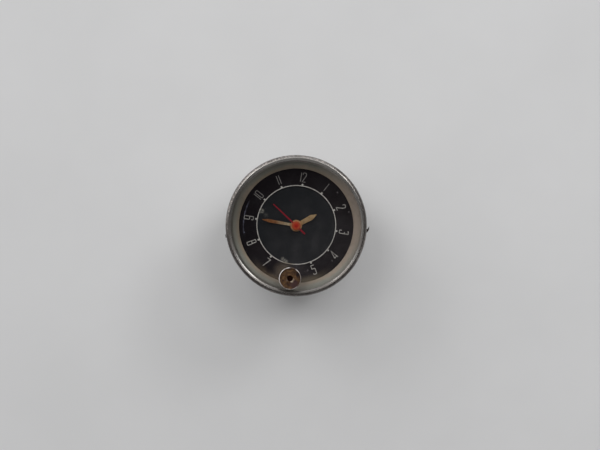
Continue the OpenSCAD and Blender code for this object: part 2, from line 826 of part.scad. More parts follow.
module center_wheel() {
    z_rear = z_center_wheel - 0.6;
    color("gold") difference() {
        union() {
            translate([0, 0, z_center_wheel]) crossed_wheel(center_n, center_module, center_wheel_t, center_hub_r, center_r - 0.2);
            translate([0, 0, z_rear]) cylinder(r = center_r, h = z_minute_hand - z_rear);
            translate([0, 0, z_rear]) cylinder(r = center_boss_r, h = z_fp0 - 0.2 - z_rear);
        }
        translate([0, 0, z_rear - 1]) cylinder(r = center_bore_r, h = case_depth);
    }
}

module drive_wheel() {
    arbor = drive_arbor_r();
    color("gold") {
        at(drive_at, z_drive_wheel) crossed_wheel(drive_n, drive_module, train_t, train_hub_r, arbor - 0.1, 90);
        at(drive_at, z_center_wheel - 0.4) gear(drive_pinion_n, center_module, center_wheel_t + 0.8, drive_pinion_turn);
        at(drive_at, z_magnet - 1.2) cylinder(r = arbor, h = z_fp0 - 0.2 - z_magnet + 1.2);
        at(drive_at, z_fp0 - 0.3) cylinder(r = pivot_r, h = plate_t + 0.3);
    }
}

module seconds_wheel() {
    color("gold") {
        translate([0, 0, z_seconds_wheel])
            crossed_wheel(seconds_n, fast_module, train_t, train_hub_r, seconds_r - 0.1);
        translate([0, 0, z_drive_wheel - 0.4])
            gear(seconds_pinion_n, drive_module, train_t + 0.8, seconds_pinion_turn);
        translate([0, 0, z_bp1 + 0.1]) cylinder(r = seconds_r, h = z_second_hand + hand_t + 0.2 - z_bp1 - 0.1);
        translate([0, 0, z_bp0]) cylinder(r = pivot_r, h = plate_t + 0.2);
    }
}

// Slender pointed teeth that lean into the turn
module escape_outline() {
    root = escape_r - 1.1;
    polygon([
        for (i = [0:escape_n - 1], k = [0:3])
            polar([root, escape_r, escape_r, root][k],
                  escape_turn + (i + [-0.22, -0.03, 0.03, 0.12][k]) * escape_pitch)
    ]);
}

module escape_wheel() {
    color("gold") {
        at(escape_at, z_escape_wheel) linear_extrude(train_t) difference() {
            escape_outline();
            difference() {
                circle(escape_r - 1.6);
                circle(lever_hub_r);
                for (i = [0:3]) rotate(45 + i * 90) translate([0, -0.35]) square([escape_r, 0.7]);
            }
        }
        at(escape_at, z_seconds_wheel - 0.4) gear(escape_pinion_n, fast_module, train_t + 0.8, escape_pinion_turn);
        plain_arbor(escape_at);
    }
}

// An arbor with a pivot in each plate
module plain_arbor(p) {
    at(p, z_bp1 + 0.1) cylinder(r = arbor_r, h = plate_gap - 0.2);
    at(p, z_bp0) cylinder(r = pivot_r, h = plate_gap + 2 * plate_t);
}

module pallet_lever() {
    pin_at = escape_r + pallet_pin_r + pallet_play;
    fork_l = lever_l - impulse_r - impulse_pin_r - 0.15;
    arm_t = 0.7;
    fork_w = 1.7;
    color("lightgray") {
        at(pallet_at, z_lever) linear_extrude(arm_t) difference() {
            union() {
                circle(lever_hub_r);
                rotate(lever_dir) translate([0, -0.45]) square([fork_l - 1, 0.9]);
                rotate(lever_dir) translate([fork_l - 1.6, -fork_w / 2]) square([1.6, fork_w]);
            }
            rotate(lever_dir) translate([fork_l - 0.8, -0.4]) square([1, 0.8]);
        }
        for (s = [-1, 1]) {
            pin = escape_at + polar(pin_at, pallet_dir + s * pallet_half);
            d = pin - pallet_at;
            at(pallet_at, z_lever) linear_extrude(arm_t) rotate(atan2(d[1], d[0]))
                translate([0, -0.35]) square([norm(d) + 0.3, 0.7]);
            at(pin, z_lever) cylinder(r = pallet_pin_r, h = train_t + 1);
        }
        plain_arbor(pallet_at);
    }
}

module balance_wheel() {
    rim_t = 1.2;
    color("gold") {
        at(balance_at, z_balance) linear_extrude(balance_t) difference() {
            circle(balance_r);
            difference() {
                circle(balance_r - rim_t);
                circle(balance_hub_r);
                for (i = [0:2]) rotate(90 + i * 120) translate([0, -0.5]) square([balance_r - rim_t / 2, 1]);
            }
        }
        at(balance_at, z_roller) cylinder(r = roller_r, h = 0.6);
        at(balance_at + polar(impulse_r, lever_dir + 180), z_roller) cylinder(r = impulse_pin_r, h = 2);
        at(balance_at, z_hairspring - 0.1) cylinder(r = collet_r, h = hairspring_h + 0.2);
        plain_arbor(balance_at);
    }
}

// Flat spiral ribbon from the collet out to its stud
module hairspring() {
    steps = 20;
    ribbon = 0.1;
    n = hairspring_turns * steps;
    function spiral(i, off) = polar(hairspring_in_r + (hairspring_out_r - hairspring_in_r) * i / n + off, i * 360 / steps);
    color("steelblue") at(balance_at, z_hairspring) linear_extrude(hairspring_h) polygon(concat(
        [for (i = [0:n]) spiral(i, -ribbon / 2)],
        [for (i = [n:-1:0]) spiral(i, ribbon / 2)]
    ));
}

module hairspring_stud() {
    stud_block_r = 0.5;
    color("lightgray") at(balance_at + [hairspring_out_r + 0.05 + stud_block_r + run_gap, 0], z_bp1)
        cylinder(r = stud_block_r, h = z_hairspring + hairspring_h + 0.2 - z_bp1);
}

// Bush in the back plate that carries the balance's rear pivot
module balance_bush() {
    color("goldenrod") at(balance_at, z_bp0) difference() {
        union() {
            cylinder(r = bush_neck_r(), h = plate_t);
            translate([0, 0, -1.2]) cylinder(r = bush_head_r(), h = 1.2);
        }
        translate([0, 0, -2]) cylinder(r = pivot_r + run_gap, h = plate_t + 3);
    }
}

// Index lever that turns on the balance bush
module regulator() {
    color("silver") at(balance_at, z_bp0 - run_gap - 0.7) linear_extrude(0.7) difference() {
        union() {
            circle(2.6);
            rotate(-90) polygon([[1, -0.7], [6.4, -0.3], [7, 0], [6.4, 0.3], [1, 0.7]]);
        }
        circle(bush_head_r() + run_gap);
    }
}

// Rewinding magnet and drive

module ratchet_wheel() {
    pitch = 360 / ratchet_n;
    color("silver") at(drive_at, z_ratchet) linear_extrude(train_t) difference() {
        polygon([
            for (i = [0:ratchet_n - 1], k = [0:1])
                polar(k == 0 ? ratchet_r : ratchet_r - 0.5, (i + k * 0.15) * pitch)
        ]);
        circle(drive_arbor_r() + seat_gap);
    }
}

module armature() {
    pin_h = z_ratchet + train_t + 0.2 - z_magnet - magnet_t;
    color("dimgray") at(drive_at, z_magnet) rotate(armature_turn) {
        difference() {
            linear_extrude(magnet_t) difference() {
                union() {
                    intersection() {
                        circle(armature_r);
                        translate([-armature_r, -arm_w / 2]) square([2 * armature_r, arm_w]);
                    }
                    circle(armature_hub_r);
                }
                circle(drive_arbor_r() + run_gap);
            }
        }
        translate([pawl_pin_at, 0, magnet_t - 0.1]) cylinder(r = pawl_pin_r, h = pin_h + 0.1);
        translate([-pawl_pin_at, 0, magnet_t - 0.1]) cylinder(r = pawl_pin_r, h = spring_pin_h());
    }
}
function spring_pin_h() = 3;

// Click that hooks the ratchet, standing just clear of its teeth
module pawl() {
    tip_r = ratchet_r + 0.12;
    tip = polar(tip_r, -pawl_reach) - [pawl_pin_at, 0];
    heel = polar(tip_r + 0.9, -pawl_reach) - [pawl_pin_at, 0];
    color("silver") at(drive_at, z_ratchet) rotate(armature_turn) translate([pawl_pin_at, 0, 0])
        linear_extrude(train_t) difference() {
            union() {
                circle(1.1);
                polygon([[-0.9, -0.6], tip, heel, [1, -0.4], [0.4, 0.6]]);
            }
            circle(pawl_pin_r + run_gap);
        }
}

module pole_pieces() {
    color("dimgray") for (s = [0, 1]) mirror([s, 0, 0]) translate([0, 0, z_magnet]) linear_extrude(magnet_t) difference() {
        translate([pole_in_x, core_y - core_w / 2])
            square([pole_out_x - pole_in_x, drive_offset + 6 - core_y + core_w / 2]);
        translate(drive_at) circle(pole_r);
        for (y = post_ys) translate([post_x, y]) circle(screw_r + run_gap);
    }
}

module magnet_core() {
    color("dimgray") translate([-pole_in_x, core_y - core_w / 2 + 0.4, z_magnet + 0.2])
        cube([2 * pole_in_x, core_w - 0.8, magnet_t - 0.4]);
}

module along_core() { translate([0, core_y, z_magnet + magnet_t / 2]) rotate([0, 90, 0]) children(); }

module coil_bobbin() {
    half = pole_in_x - run_gap;
    color("tan") difference() {
        along_core() {
            translate([0, 0, -half]) cylinder(r = bobbin_tube_r, h = 2 * half);
            translate([0, 0, -half]) cylinder(r = bobbin_r, h = flange_t);
            translate([0, 0, half - flange_t]) cylinder(r = bobbin_r, h = flange_t);
        }
        translate([-pole_in_x - 1, core_y - core_w / 2 + 0.3, z_magnet + 0.1])
            cube([2 * pole_in_x + 2, core_w - 0.6, magnet_t - 0.2]);
    }
}

module coil_winding() {
    half = pole_in_x - run_gap - flange_t - seat_gap;
    color("chocolate") along_core() translate([0, 0, -half]) tube(coil_r, bobbin_tube_r + seat_gap, 2 * half);
}

module magnet_posts() {
    post_h = z_bp0 - z_magnet - magnet_t;
    color("gold") for (x = [-post_x, post_x], y = post_ys) at([x, y], z_magnet + magnet_t) difference() {
        cylinder(r = post_r, h = post_h);
        translate([0, 0, -1]) cylinder(r = screw_r + seat_gap, h = 4.5);
    }
}

module magnet_screws() {
    color("steelblue") for (x = [-post_x, post_x], y = post_ys)
        at([x, y], z_magnet - screw_head_t) screw(magnet_t + 3);
}

module spring_post() {
    color("gold") at(spring_anchor, z_bp0 - spring_post_h) cylinder(r = spring_post_r, h = spring_post_h);
}

// Tension spring that pulls the armature round and so drives the train
module drive_spring() {
    turns = 12;
    steps = 8;
    coil = 0.7;
    wire = 0.18;
    spring_z = z_bp0 - spring_post_h + coil + wire + axial_gap;
    a = [spring_anchor[0] + spring_post_r + wire + run_gap + coil, spring_anchor[1]];
    hook = drive_at + polar(pawl_pin_at, armature_turn + 180);
    dir = (hook - a) / norm(hook - a);
    span = norm(hook - a) - pawl_pin_r - wire - run_gap - coil;
    n = turns * steps;
    points = [
        for (i = [0:n]) let (t = i * 360 / steps, p = a + dir * span * i / n, w = coil * cos(t))
            [p[0] - dir[1] * w, p[1] + dir[0] * w, spring_z + coil * sin(t)]
    ];
    color("silver") sweep(points, wire);
}

module contact_block() {
    color("saddlebrown") translate([block_x, y_leaf - block_w, z_magnet - 0.5])
        cube([block_l, block_w, z_bp0 - z_magnet + 0.5]);
}

// Spring leaf with the contact point that the armature meets at the end of its swing
module contact_leaf() {
    leaf_t = 0.3;
    color("goldenrod") {
        translate([block_x, y_leaf, z_magnet]) cube([arm_corner[0] + 0.9 - block_x, leaf_t, magnet_t]);
        translate([arm_corner[0], y_leaf - contact_h, z_magnet + magnet_t / 2])
            rotate([-90, 0, 0]) cylinder(r = 0.7, h = contact_h + leaf_t / 2);
    }
}

bezel();
lens();
lens_gasket();
spacer_ring();
dial();
dial_feet();
case();
mounting_studs();
stud_sleeves();
stud_washers();
stud_nuts();
terminal_stud();
terminal_insulator();
terminal_inner_washer();
terminal_washer();
terminal_nut();
front_plate();
back_plate();
pillars();
pillar_screws();
setting_knob();
setting_stem();
setting_pinion();
stem_clip();
stem_washer();
stem_spring();
stem_bridge();
stem_bush();
setting_wheel();
setting_wheel_screw();
hour_hand();
minute_hand();
second_hand();
hour_wheel();
cannon_pinion();
minute_wheel();
minute_wheel_post();
center_wheel();
drive_wheel();
seconds_wheel();
escape_wheel();
pallet_lever();
balance_wheel();
hairspring();
hairspring_stud();
balance_bush();
regulator();
ratchet_wheel();
armature();
pawl();
pole_pieces();
magnet_core();
coil_bobbin();
coil_winding();
magnet_posts();
magnet_screws();
drive_spring();
spring_post();
contact_block();
contact_leaf();
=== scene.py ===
"""Looks of a car dashboard clock that lies on its back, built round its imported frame."""

import json
import math
from contextlib import contextmanager

import bmesh
import bpy
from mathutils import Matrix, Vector, noise


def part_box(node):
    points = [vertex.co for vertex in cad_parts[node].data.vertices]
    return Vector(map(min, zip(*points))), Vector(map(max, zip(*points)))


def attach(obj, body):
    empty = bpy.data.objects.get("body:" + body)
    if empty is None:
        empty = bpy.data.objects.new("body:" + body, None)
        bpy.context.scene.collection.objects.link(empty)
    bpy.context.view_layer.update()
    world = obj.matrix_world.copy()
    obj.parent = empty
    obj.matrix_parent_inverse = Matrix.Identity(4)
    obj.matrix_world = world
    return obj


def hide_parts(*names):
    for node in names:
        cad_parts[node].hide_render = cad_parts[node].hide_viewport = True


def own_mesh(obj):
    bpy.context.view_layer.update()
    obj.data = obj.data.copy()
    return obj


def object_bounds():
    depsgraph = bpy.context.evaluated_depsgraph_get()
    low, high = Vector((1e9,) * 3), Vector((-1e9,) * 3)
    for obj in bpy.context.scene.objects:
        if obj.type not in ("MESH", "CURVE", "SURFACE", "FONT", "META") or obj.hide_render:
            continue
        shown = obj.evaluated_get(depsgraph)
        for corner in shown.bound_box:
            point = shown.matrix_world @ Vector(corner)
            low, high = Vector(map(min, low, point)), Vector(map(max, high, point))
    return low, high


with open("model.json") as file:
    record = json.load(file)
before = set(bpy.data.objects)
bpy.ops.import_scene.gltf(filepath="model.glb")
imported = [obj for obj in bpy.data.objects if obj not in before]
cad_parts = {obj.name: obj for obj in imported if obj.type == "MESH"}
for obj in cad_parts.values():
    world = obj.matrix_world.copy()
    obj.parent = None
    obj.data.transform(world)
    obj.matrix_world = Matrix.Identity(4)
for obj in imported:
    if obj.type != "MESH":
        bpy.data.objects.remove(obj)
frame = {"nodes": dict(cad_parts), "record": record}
cad_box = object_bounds()
nodes = frame["nodes"]
MM = 0.001


def mm(*lengths):
    """Lengths given in millimetres, as metres."""
    return tuple(length * MM for length in lengths)


# Sizes read from the frame, in metres


def top(node):
    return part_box(node)[1][2]


def bottom(node):
    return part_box(node)[0][2]


def reach_of(node):
    """How far a node reaches from the clock's axis, measured towards twelve."""
    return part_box(node)[1][1]


def half_width(node):
    low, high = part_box(node)
    return (high[0] - low[0]) / 2


def centre_of(node):
    low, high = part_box(node)
    return ((low[0] + high[0]) / 2, (low[1] + high[1]) / 2)


def mount_at(name):
    """Where a mount stands, across the axis."""
    return next(tuple(mount["pos_m"][:2]) for mount in frame["record"]["mounts"] if mount["name"] == name)


BEZEL_R, BEZEL_TOP = reach_of("bezel"), top("bezel")
LENS_R, LENS_LOW, LENS_TOP = reach_of("lens"), bottom("lens"), top("lens")
DIAL_R, DIAL_LOW, DIAL_TOP = reach_of("dial"), bottom("dial"), top("dial")
KNOB_R, KNOB_LOW, KNOB_TOP = half_width("setting_knob"), bottom("setting_knob"), top("setting_knob")
KNOB_AT = centre_of("setting_knob")
CASE_LOW, FLANGE_R = bottom("case"), reach_of("case")
GASKET_TOP = top("lens_gasket")
FLOOR_Z = cad_box[0][2]

# Sizes of the bezel and the case, as in the source
WALL = 0.6 * MM
RIM_STEP = 0.4 * MM
RIM_ROUND = 0.6 * MM
FACE_W = 2.3 * MM  # from the flank in to the window's lip
SHOULDER_R = 0.55 * FACE_W
BEVEL_SLOPE = 0.4
FLANK_R = BEZEL_R - RIM_STEP
CREST_R = FLANK_R - SHOULDER_R
WINDOW_LIP_R = FLANK_R - FACE_W
BARREL_R = 26 * MM
BARREL_GAP = 0.2 * MM
CASE_WALL = 0.8 * MM
CASE_CORNER = 2.4 * MM
LAMP_R, TERMINAL_HOLE_R, STUD_HOLE_R = mm(5.5, 3.2, 2.2)
STUD_ATS = [mm(side * 16, 7) for side in (-1, 1)]
STUD_R = 2 * MM
NUT_FLATS = 7 * MM

# Sizes of the dial and the hands, as in the source
WINDOW_R = 24.2 * MM
SINK_R = 16.5 * MM
SINK = 0.25 * MM
HAND_T = 0.25 * MM
SECOND_HUB_R = 1.85 * MM

# Shapes that are finer here than in the source
SHOULDER_END = 70  # degrees from the flank up to where the shoulder meets the crest
CREST_ROUND = 0.2 * MM
BEVEL_CROWN = 8  # degrees by which the bevel's tilt differs at its edges from its middle
LIP_ROUND, LIP_DROP = mm(0.15, 0.1)
SECOND_CAP_R = 0.55 * MM
THREAD_PITCH = 0.7 * MM
THREAD_CORE_R = 0.84 * STUD_R
DENT = 0.04 * MM
DENTS_PER_M = 140

# What the dial prints; the print lies a little off the centre towards twelve
PRINT_SHIFT = 0.34 * MM
PRINT_RING_R = 16.68 * MM
PRINT_RING_W = 0.35 * MM
DOT_AT_R = 17.2 * MM
DOT_R = 0.4 * MM
DIGIT_LOW_R = 18.4 * MM
DIGIT_H = 3.85 * MM
DIGIT_GAP = 0.72 * MM
ONES_GAP = 1.0 * MM
STROKE_W = 0.31 * MM
INK_H = 0.012 * MM

# Where the hands point, in degrees clockwise from twelve, and how far the dial has turned in its seat
HOUR_DEG, MINUTE_DEG, SECOND_DEG = 52.65, 271.8, 304.8
DIAL_TURN = 2.1

# Mesh helpers

LATHE_WELD = 0.0001 * MM
CUT_WELD = 0.002 * MM


@contextmanager
def editing(obj):
    """Opens the mesh of an object for changes and writes it back."""
    bm = bmesh.new()
    bm.from_mesh(obj.data)
    yield bm
    bm.to_mesh(obj.data)
    bm.free()


def new_object(name, verts, faces, material):
    mesh = bpy.data.meshes.new(name)
    mesh.from_pydata(verts, [], faces)
    mesh.update()
    mesh.materials.append(material)
    obj = bpy.data.objects.new(name, mesh)
    bpy.context.scene.collection.objects.link(obj)
    return obj


def smooth(obj, angle=35):
    """Turns faces outwards and shades them smooth, apart from edges that bend by more than angle degrees."""
    with editing(obj) as bm:
        bmesh.ops.recalc_face_normals(bm, faces=bm.faces)
    obj.data.shade_smooth()
    obj.data.set_sharp_from_angle(angle=math.radians(angle))
    return obj


def weld(obj, reach):
    """Joins points that lie within reach of each other and removes faces that are left without area."""
    with editing(obj) as bm:
        bmesh.ops.remove_doubles(bm, verts=bm.verts, dist=reach)
        bmesh.ops.dissolve_degenerate(bm, dist=reach, edges=bm.edges)


def thicken(obj, depth):
    """Makes closed plates of flat faces, by extruding them downwards."""
    with editing(obj) as bm:
        made = bmesh.ops.extrude_face_region(bm, geom=bm.faces[:], use_keep_orig=True)["geom"]
        for vert in made:
            if isinstance(vert, bmesh.types.BMVert):
                vert.co.z -= depth
        bmesh.ops.recalc_face_normals(bm, faces=bm.faces)


def circle(r, count, at=(0, 0)):
    angles = [2 * math.pi * i / count for i in range(count)]
    return [(at[0] + r * math.cos(a), at[1] + r * math.sin(a)) for a in angles]


def arc(centre, r, start, end, steps):
    """Points of an arc from one angle to another, in degrees."""
    angles = [math.radians(start + (end - start) * i / steps) for i in range(steps + 1)]
    return [(centre[0] + r * math.cos(a), centre[1] + r * math.sin(a)) for a in angles]


def turned(points, degrees):
    """Points turned clockwise round the clock's axis."""
    a = math.radians(-degrees)
    return [(x * math.cos(a) - y * math.sin(a), x * math.sin(a) + y * math.cos(a)) for x, y in points]


def quads(rows, count, round_rows=True, round_points=True, base=0):
    """Faces between rows of count points each; the rows, and the points in a row, may close round."""
    faces = []
    for i in range(rows if round_rows else rows - 1):
        here, there = base + i * count, base + (i + 1) % rows * count
        for k in range(count if round_points else count - 1):
            m = (k + 1) % count
            faces.append([here + k, here + m, there + m, there + k])
    return faces


def lathe(name, profile, material, at=(0, 0), segments=192, closed=True, wobble=0.0):
    """Turns a profile of (radius, height) points round a vertical axis, dented by up to wobble."""
    verts = []
    for i in range(segments):
        a = 2 * math.pi * i / segments
        for r, z in profile:
            x, y = r * math.cos(a), r * math.sin(a)
            dent = wobble * noise.noise(Vector((x, y, z)) * DENTS_PER_M)
            stretch = 1 + dent / r if r else 1
            verts.append((at[0] + x * stretch, at[1] + y * stretch, z + dent))
    obj = new_object(name, verts, quads(segments, len(profile), round_points=closed), material)
    weld(obj, LATHE_WELD)
    return smooth(obj)


def drilled(obj, at, r, low, high, segments):
    """The object with a round hole cut through it from low to high."""
    profile = [(0, low), (r, low), (r, high), (0, high)]
    bit = lathe("bit", profile, obj.data.materials[0], at, segments, closed=False)
    modifier = obj.modifiers.new("hole", "BOOLEAN")
    modifier.object = bit
    modifier.operation = "DIFFERENCE"
    modifier.solver = "EXACT"
    bpy.context.view_layer.objects.active = obj
    bpy.ops.object.modifier_apply(modifier=modifier.name)
    bpy.data.objects.remove(bit)
    weld(obj, CUT_WELD)
    return smooth(obj)


def prism(name, outline, low, high, material, edge):
    """A flat plate of an outline, with its top edge eased."""
    n = len(outline)
    verts = [(x, y, z) for z in (low, high) for x, y in outline]
    faces = [list(range(n - 1, -1, -1)), list(range(n, 2 * n))] + quads(2, n, round_rows=False)
    obj = new_object(name, verts, faces, material)
    with editing(obj) as bm:
        rims = [e for e in bm.edges if all(v.co.z > (low + high) / 2 for v in e.verts)]
        bmesh.ops.bevel(bm, geom=rims, offset=edge, segments=2, affect="EDGES", profile=0.6)
    return smooth(obj)


def join(name, parts):
    """Joins objects into one piece."""
    bpy.ops.object.select_all(action="DESELECT")
    for part in parts:
        part.select_set(True)
    bpy.context.view_layer.objects.active = parts[0]
    bpy.ops.object.join()
    parts[0].name = name
    return parts[0]


def stroke(points, width, loop):
    """Points on both sides of a polyline, mitred at its corners."""
    n = len(points)
    sides = []
    for i, p in enumerate(points):
        before = points[(i - 1) % n] if loop or i else None
        after = points[(i + 1) % n] if loop or i < n - 1 else None
        steps = [Vector(p) - Vector(before)] if before else []
        steps += [Vector(after) - Vector(p)] if after else []
        normals = [Vector((-s.y, s.x)).normalized() for s in steps]
        normal = sum(normals, Vector((0, 0))).normalized()
        reach = width / 2 / max(normal.dot(normals[0]), 0.5)
        sides.append((Vector(p) + normal * reach, Vector(p) - normal * reach))
    return sides


# Material helpers

NOISE_ROUGHNESS = 0.6


class Graph:
    """A node tree, with short calls for the nodes that the looks here share."""

    def __init__(self, tree, place):
        self.tree = tree
        self.place = self.add("ShaderNodeTexCoord").outputs[place]

    def add(self, kind, **settings):
        node = self.tree.nodes.new(kind)
        for key, value in settings.items():
            setattr(node, key, value)
        return node

    def plug(self, socket, value):
        """Links an output to a socket, or sets a plain value or colour on it."""
        if isinstance(value, bpy.types.NodeSocket):
            self.tree.links.new(value, socket)
        elif isinstance(value, tuple) and len(value) == 3 and len(socket.default_value) == 4:
            socket.default_value = (*value, 1)
        else:
            socket.default_value = value

    def feed(self, node, *values):
        """Gives values to the first inputs of a node."""
        for socket, value in zip(node.inputs, values):
            self.plug(socket, value)
        return node

    def fill(self, node, **inputs):
        """Gives values to inputs of a node by their names."""
        for key, value in inputs.items():
            self.plug(node.inputs[key.replace("_", " ")], value)
        return node

    def noise(self, size, detail=5.0):
        """Noise whose blotches are about size metres across."""
        node = self.add("ShaderNodeTexNoise")
        self.fill(node, Vector=self.place, Scale=1 / size, Detail=detail, Roughness=NOISE_ROUGHNESS)
        return node.outputs["Fac"]

    def ramp(self, factor, stops):
        """Colours at positions of a factor, blended between them."""
        node = self.feed(self.add("ShaderNodeValToRGB"), factor)
        elements = node.color_ramp.elements
        while len(elements) < len(stops):
            elements.new(0.5)
        for element, (position, colour) in zip(elements, stops):
            element.position = position
            element.color = (*colour, 1)
        return node.outputs["Color"]

    def band(self, value, low, high, to_low=0.0, to_high=1.0, blend="SMOOTHSTEP"):
        """Maps low..high of a value to to_low..to_high."""
        node = self.add("ShaderNodeMapRange", interpolation_type=blend)
        return self.feed(node, value, low, high, to_low, to_high).outputs["Result"]

    def patches(self, size, detail, low, high, least=0.0, most=1.0):
        """Patches of a noise: least up to its value low, and most from high on."""
        return self.band(self.noise(size, detail), low, high, least, most)

    def between(self, value, start, full, fade, end):
        """One from full to fade of a value, and nothing before start and past end."""
        return self.product(self.band(value, start, full), self.band(value, fade, end, 1.0, 0.0))

    def mix(self, factor, a, b):
        node = self.add("ShaderNodeMix", data_type="RGBA")
        for place, value in ((0, factor), (6, a), (7, b)):
            self.plug(node.inputs[place], value)
        return node.outputs[2]

    def math(self, operation, first, *others):
        """Joins two or more values by an operation."""
        for other in others:
            first = self.feed(self.add("ShaderNodeMath", operation=operation), first, other).outputs["Value"]
        return first

    def product(self, *factors):
        return self.math("MULTIPLY", *factors)

    def without(self, share):
        """What a share leaves of one."""
        return self.math("SUBTRACT", 1.0, share)

    def vector(self, operation, a, b=(0, 0, 0)):
        return self.feed(self.add("ShaderNodeVectorMath", operation=operation), a, b)

    def radius(self, at=(0, 0)):
        """Distance from a vertical axis through at."""
        shift = self.vector("SUBTRACT", self.place, (at[0], at[1], 0))
        flat = self.vector("MULTIPLY", shift.outputs[0], (1, 1, 0))
        return self.vector("LENGTH", flat.outputs[0]).outputs["Value"]

    def spot(self, at, reach, end, strength):
        """Strength within reach of a place, fading to nothing at end."""
        return self.band(self.radius(at), reach, end, strength, 0.0)

    def height(self):
        return self.feed(self.add("ShaderNodeSeparateXYZ"), self.place).outputs["Z"]


class Paint(Graph):
    """The node tree of a material."""

    def __init__(self, name, metallic=0.0, roughness=0.5, specular=0.5):
        self.material = bpy.data.materials.new(name)
        self.material.use_nodes = True
        super().__init__(self.material.node_tree, "Object")
        self.shader = self.tree.nodes["Principled BSDF"]
        self.set(Metallic=metallic, Roughness=roughness, Specular_IOR_Level=specular)

    def set(self, **inputs):
        self.fill(self.shader, **inputs)

    def grain(self, size, depth, detail=5.0):
        """Roughens the surface with a fine noise, and gives the finished material."""
        node = self.add("ShaderNodeBump")
        self.fill(node, Strength=1.0, Distance=depth, Height=self.noise(size, detail))
        self.set(Normal=node.outputs["Normal"])
        return self.material


def metal(name, dull, bright, rough, blotch, stain=None, grit=0.25 * MM, depth=0.01 * MM):
    """Bare metal with a cloudy surface, fine grit and, where stain is given, stained patches."""
    g = Paint(name, metallic=1.0)
    cloud = g.noise(blotch)
    colour = g.ramp(cloud, [(0.3, dull), (0.7, bright)])
    if stain:
        colour = g.mix(g.patches(1.7 * blotch, 7, 0.56, 0.72), colour, stain)
    g.set(Base_Color=colour, Roughness=g.band(cloud, 0.3, 0.7, rough[1], rough[0]))
    return g.grain(grit, depth, 3)


def matt(name, dark, light, roughness):
    """Paint, fibre or rubber with a slightly uneven colour."""
    g = Paint(name, roughness=roughness)
    g.set(Base_Color=g.ramp(g.noise(2 * MM), [(0.3, dark), (0.7, light)]))
    return g.grain(0.2 * MM, 0.01 * MM, 3)


# Where the clock is marked, seen from the front


def blot(x, y, reach, end, strength):
    """A mark in millimetres: its place, how far it is full, where it ends, and its strength."""
    return (mm(x, y), reach * MM, end * MM, strength)


def from_knob(right, up):
    return (KNOB_AT[0] + right, KNOB_AT[1] + up)


# Smears on the dial, of which the two near nine are a painted reflection of light in the glass, haze that
# reaches in to the printed ring beside the knob, and a gap in the haze
SMEARS_AND_REFLECTION = [
    blot(-15.3, 4.6, 0.32, 1.6, 0.7),
    blot(-13.2, 3.0, 0.32, 1.6, 0.14),
    blot(-3.9, -14.7, 0.26, 1.3, 0.65),
    blot(-2.6, -15.5, 0.26, 1.3, 0.7),
]
KNOB_HAZE = (KNOB_AT, 7 * MM, 19 * MM, 0.85)
INNER_HAZE = blot(-3.4, -20.3, 1.5, 5.5, 0.6)
HAZE_GAP = blot(-9.1, -20.0, 0.6, 2.6, 0.7)
HAZE_R = mm(20.9, 23.9)  # where the haze begins and where it is full, from the middle
LEFT_HAZE = (from_knob(-8 * MM, 0), 4 * MM, 12 * MM, 1.0)  # where the haze has its left colour

# The bezel: how high its rim looks worn, painted shade on the rim, and painted shade on the shoulder, whose
# last mark darkens a stain
RIM_WORN = mm(1.25, 1.6)
RIM_SHADE = [blot(27.5, -11.9, 12, 40, 0.8), blot(-3, -29.8, 8, 26, 0.7)]
SHOULDER_SHADE_AND_STAIN = [
    blot(-22.0, -18.6, 9, 24, 0.8),
    blot(26.9, 10.6, 6, 22, 0.7),
    blot(3.3, -28.7, 6, 20, 0.6),
    blot(22.9, -17.4, 5, 14, 0.7),
    # This last mark darkens a stain.
    blot(16.0, 24.2, 1.5, 5, 0.65),
]
# Round a place at the top the bevel gets a painted reflection and the ring's edge painted light, both pale;
# away from it the crest gets painted shade
PALE_AT = mm(-3.2, 27.6)
BEVEL_PALE = (PALE_AT, 12 * MM, 30 * MM, 0.8)
SLOPE_PALE = (PALE_AT, 14 * MM, 28 * MM, 0.85)
CREST_SHADE = (*mm(22, 42), 0.0, 0.65)

# The sloping ring: a stain, a painted shadow along its upper edge under the bezel's lip, and grime with its
# colour
SLOPE_STAIN = blot(24, 9, 8, 28, 0.75)
SLOPE_EDGE_SHADOW = blot(-22, -16, 14, 34, 0.65)
SLOPE_GRIME = [
    (blot(-18, 20, 10, 42, 0.3), (0.10, 0.085, 0.07)),
    (blot(-3, -25, 6, 20, 0.45), (0.10, 0.088, 0.072)),
    (blot(-26, 0, 6, 18, 0.3), (0.10, 0.088, 0.072)),
]

# The print: where the numbers have faded most, how that lessens away from there, and a stain on the ring
PRINT_FADE_AT = mm(-7, 22)
PRINT_FADE = (*mm(14, 36), 0.82, 0.14)
PRINT_STAIN = blot(-1.9, -16.6, 1, 4, 0.7)
HUB_BROWN = blot(0, 0, 2.4, 3.2, 0.75)  # on the hubs of the hour and minute hands

# The glass: film, specks of dust, and scuffs along an arc near its left edge
FILM = blot(14, -14, 8, 44, 0.019)
KNOB_FILM = (KNOB_AT, 4 * MM, 10 * MM, 0.012)
DUST_ATS = ((15.6, 15.8), (21.3, 8.3), (16.7, -12.9), (7, -18), (-21.3, -5.3))
DUST = [blot(x, y, 0.12, 0.38, 0.1) for x, y in DUST_ATS]
SCUFF_ARC_AT = mm(0.9, 0)
SCUFF_ARC = mm(22.7, 23.0, 23.0, 23.5)  # the radii where it starts, is full, fades and ends
SCUFF = blot(-22, 0.5, 4, 9, 0.1)
SCUFF_TINT = blot(-22, 0.5, 6, 12, 1.0)

# Patches in the knob's cup: right and up of its middle, size, strength and colour; the third and fourth are
# painted highlights on the boss round the hole
KNOB_PATCHES = [
    (*mm(1.9, -2.1, 2.6), 0.85, (0.04, 0.018, 0.02)),
    (*mm(3.0, 1.9, 1.1), 1.0, (0.010, 0.004, 0.004)),
    (*mm(0.9, -1.05, 0.85), 0.95, (0.36, 0.28, 0.215)),
    (*mm(1.35, -0.3, 0.85), 0.8, (0.24, 0.175, 0.125)),
    (*mm(-1.2, -0.9, 0.7), 0.5, (0.15, 0.11, 0.09)),
]
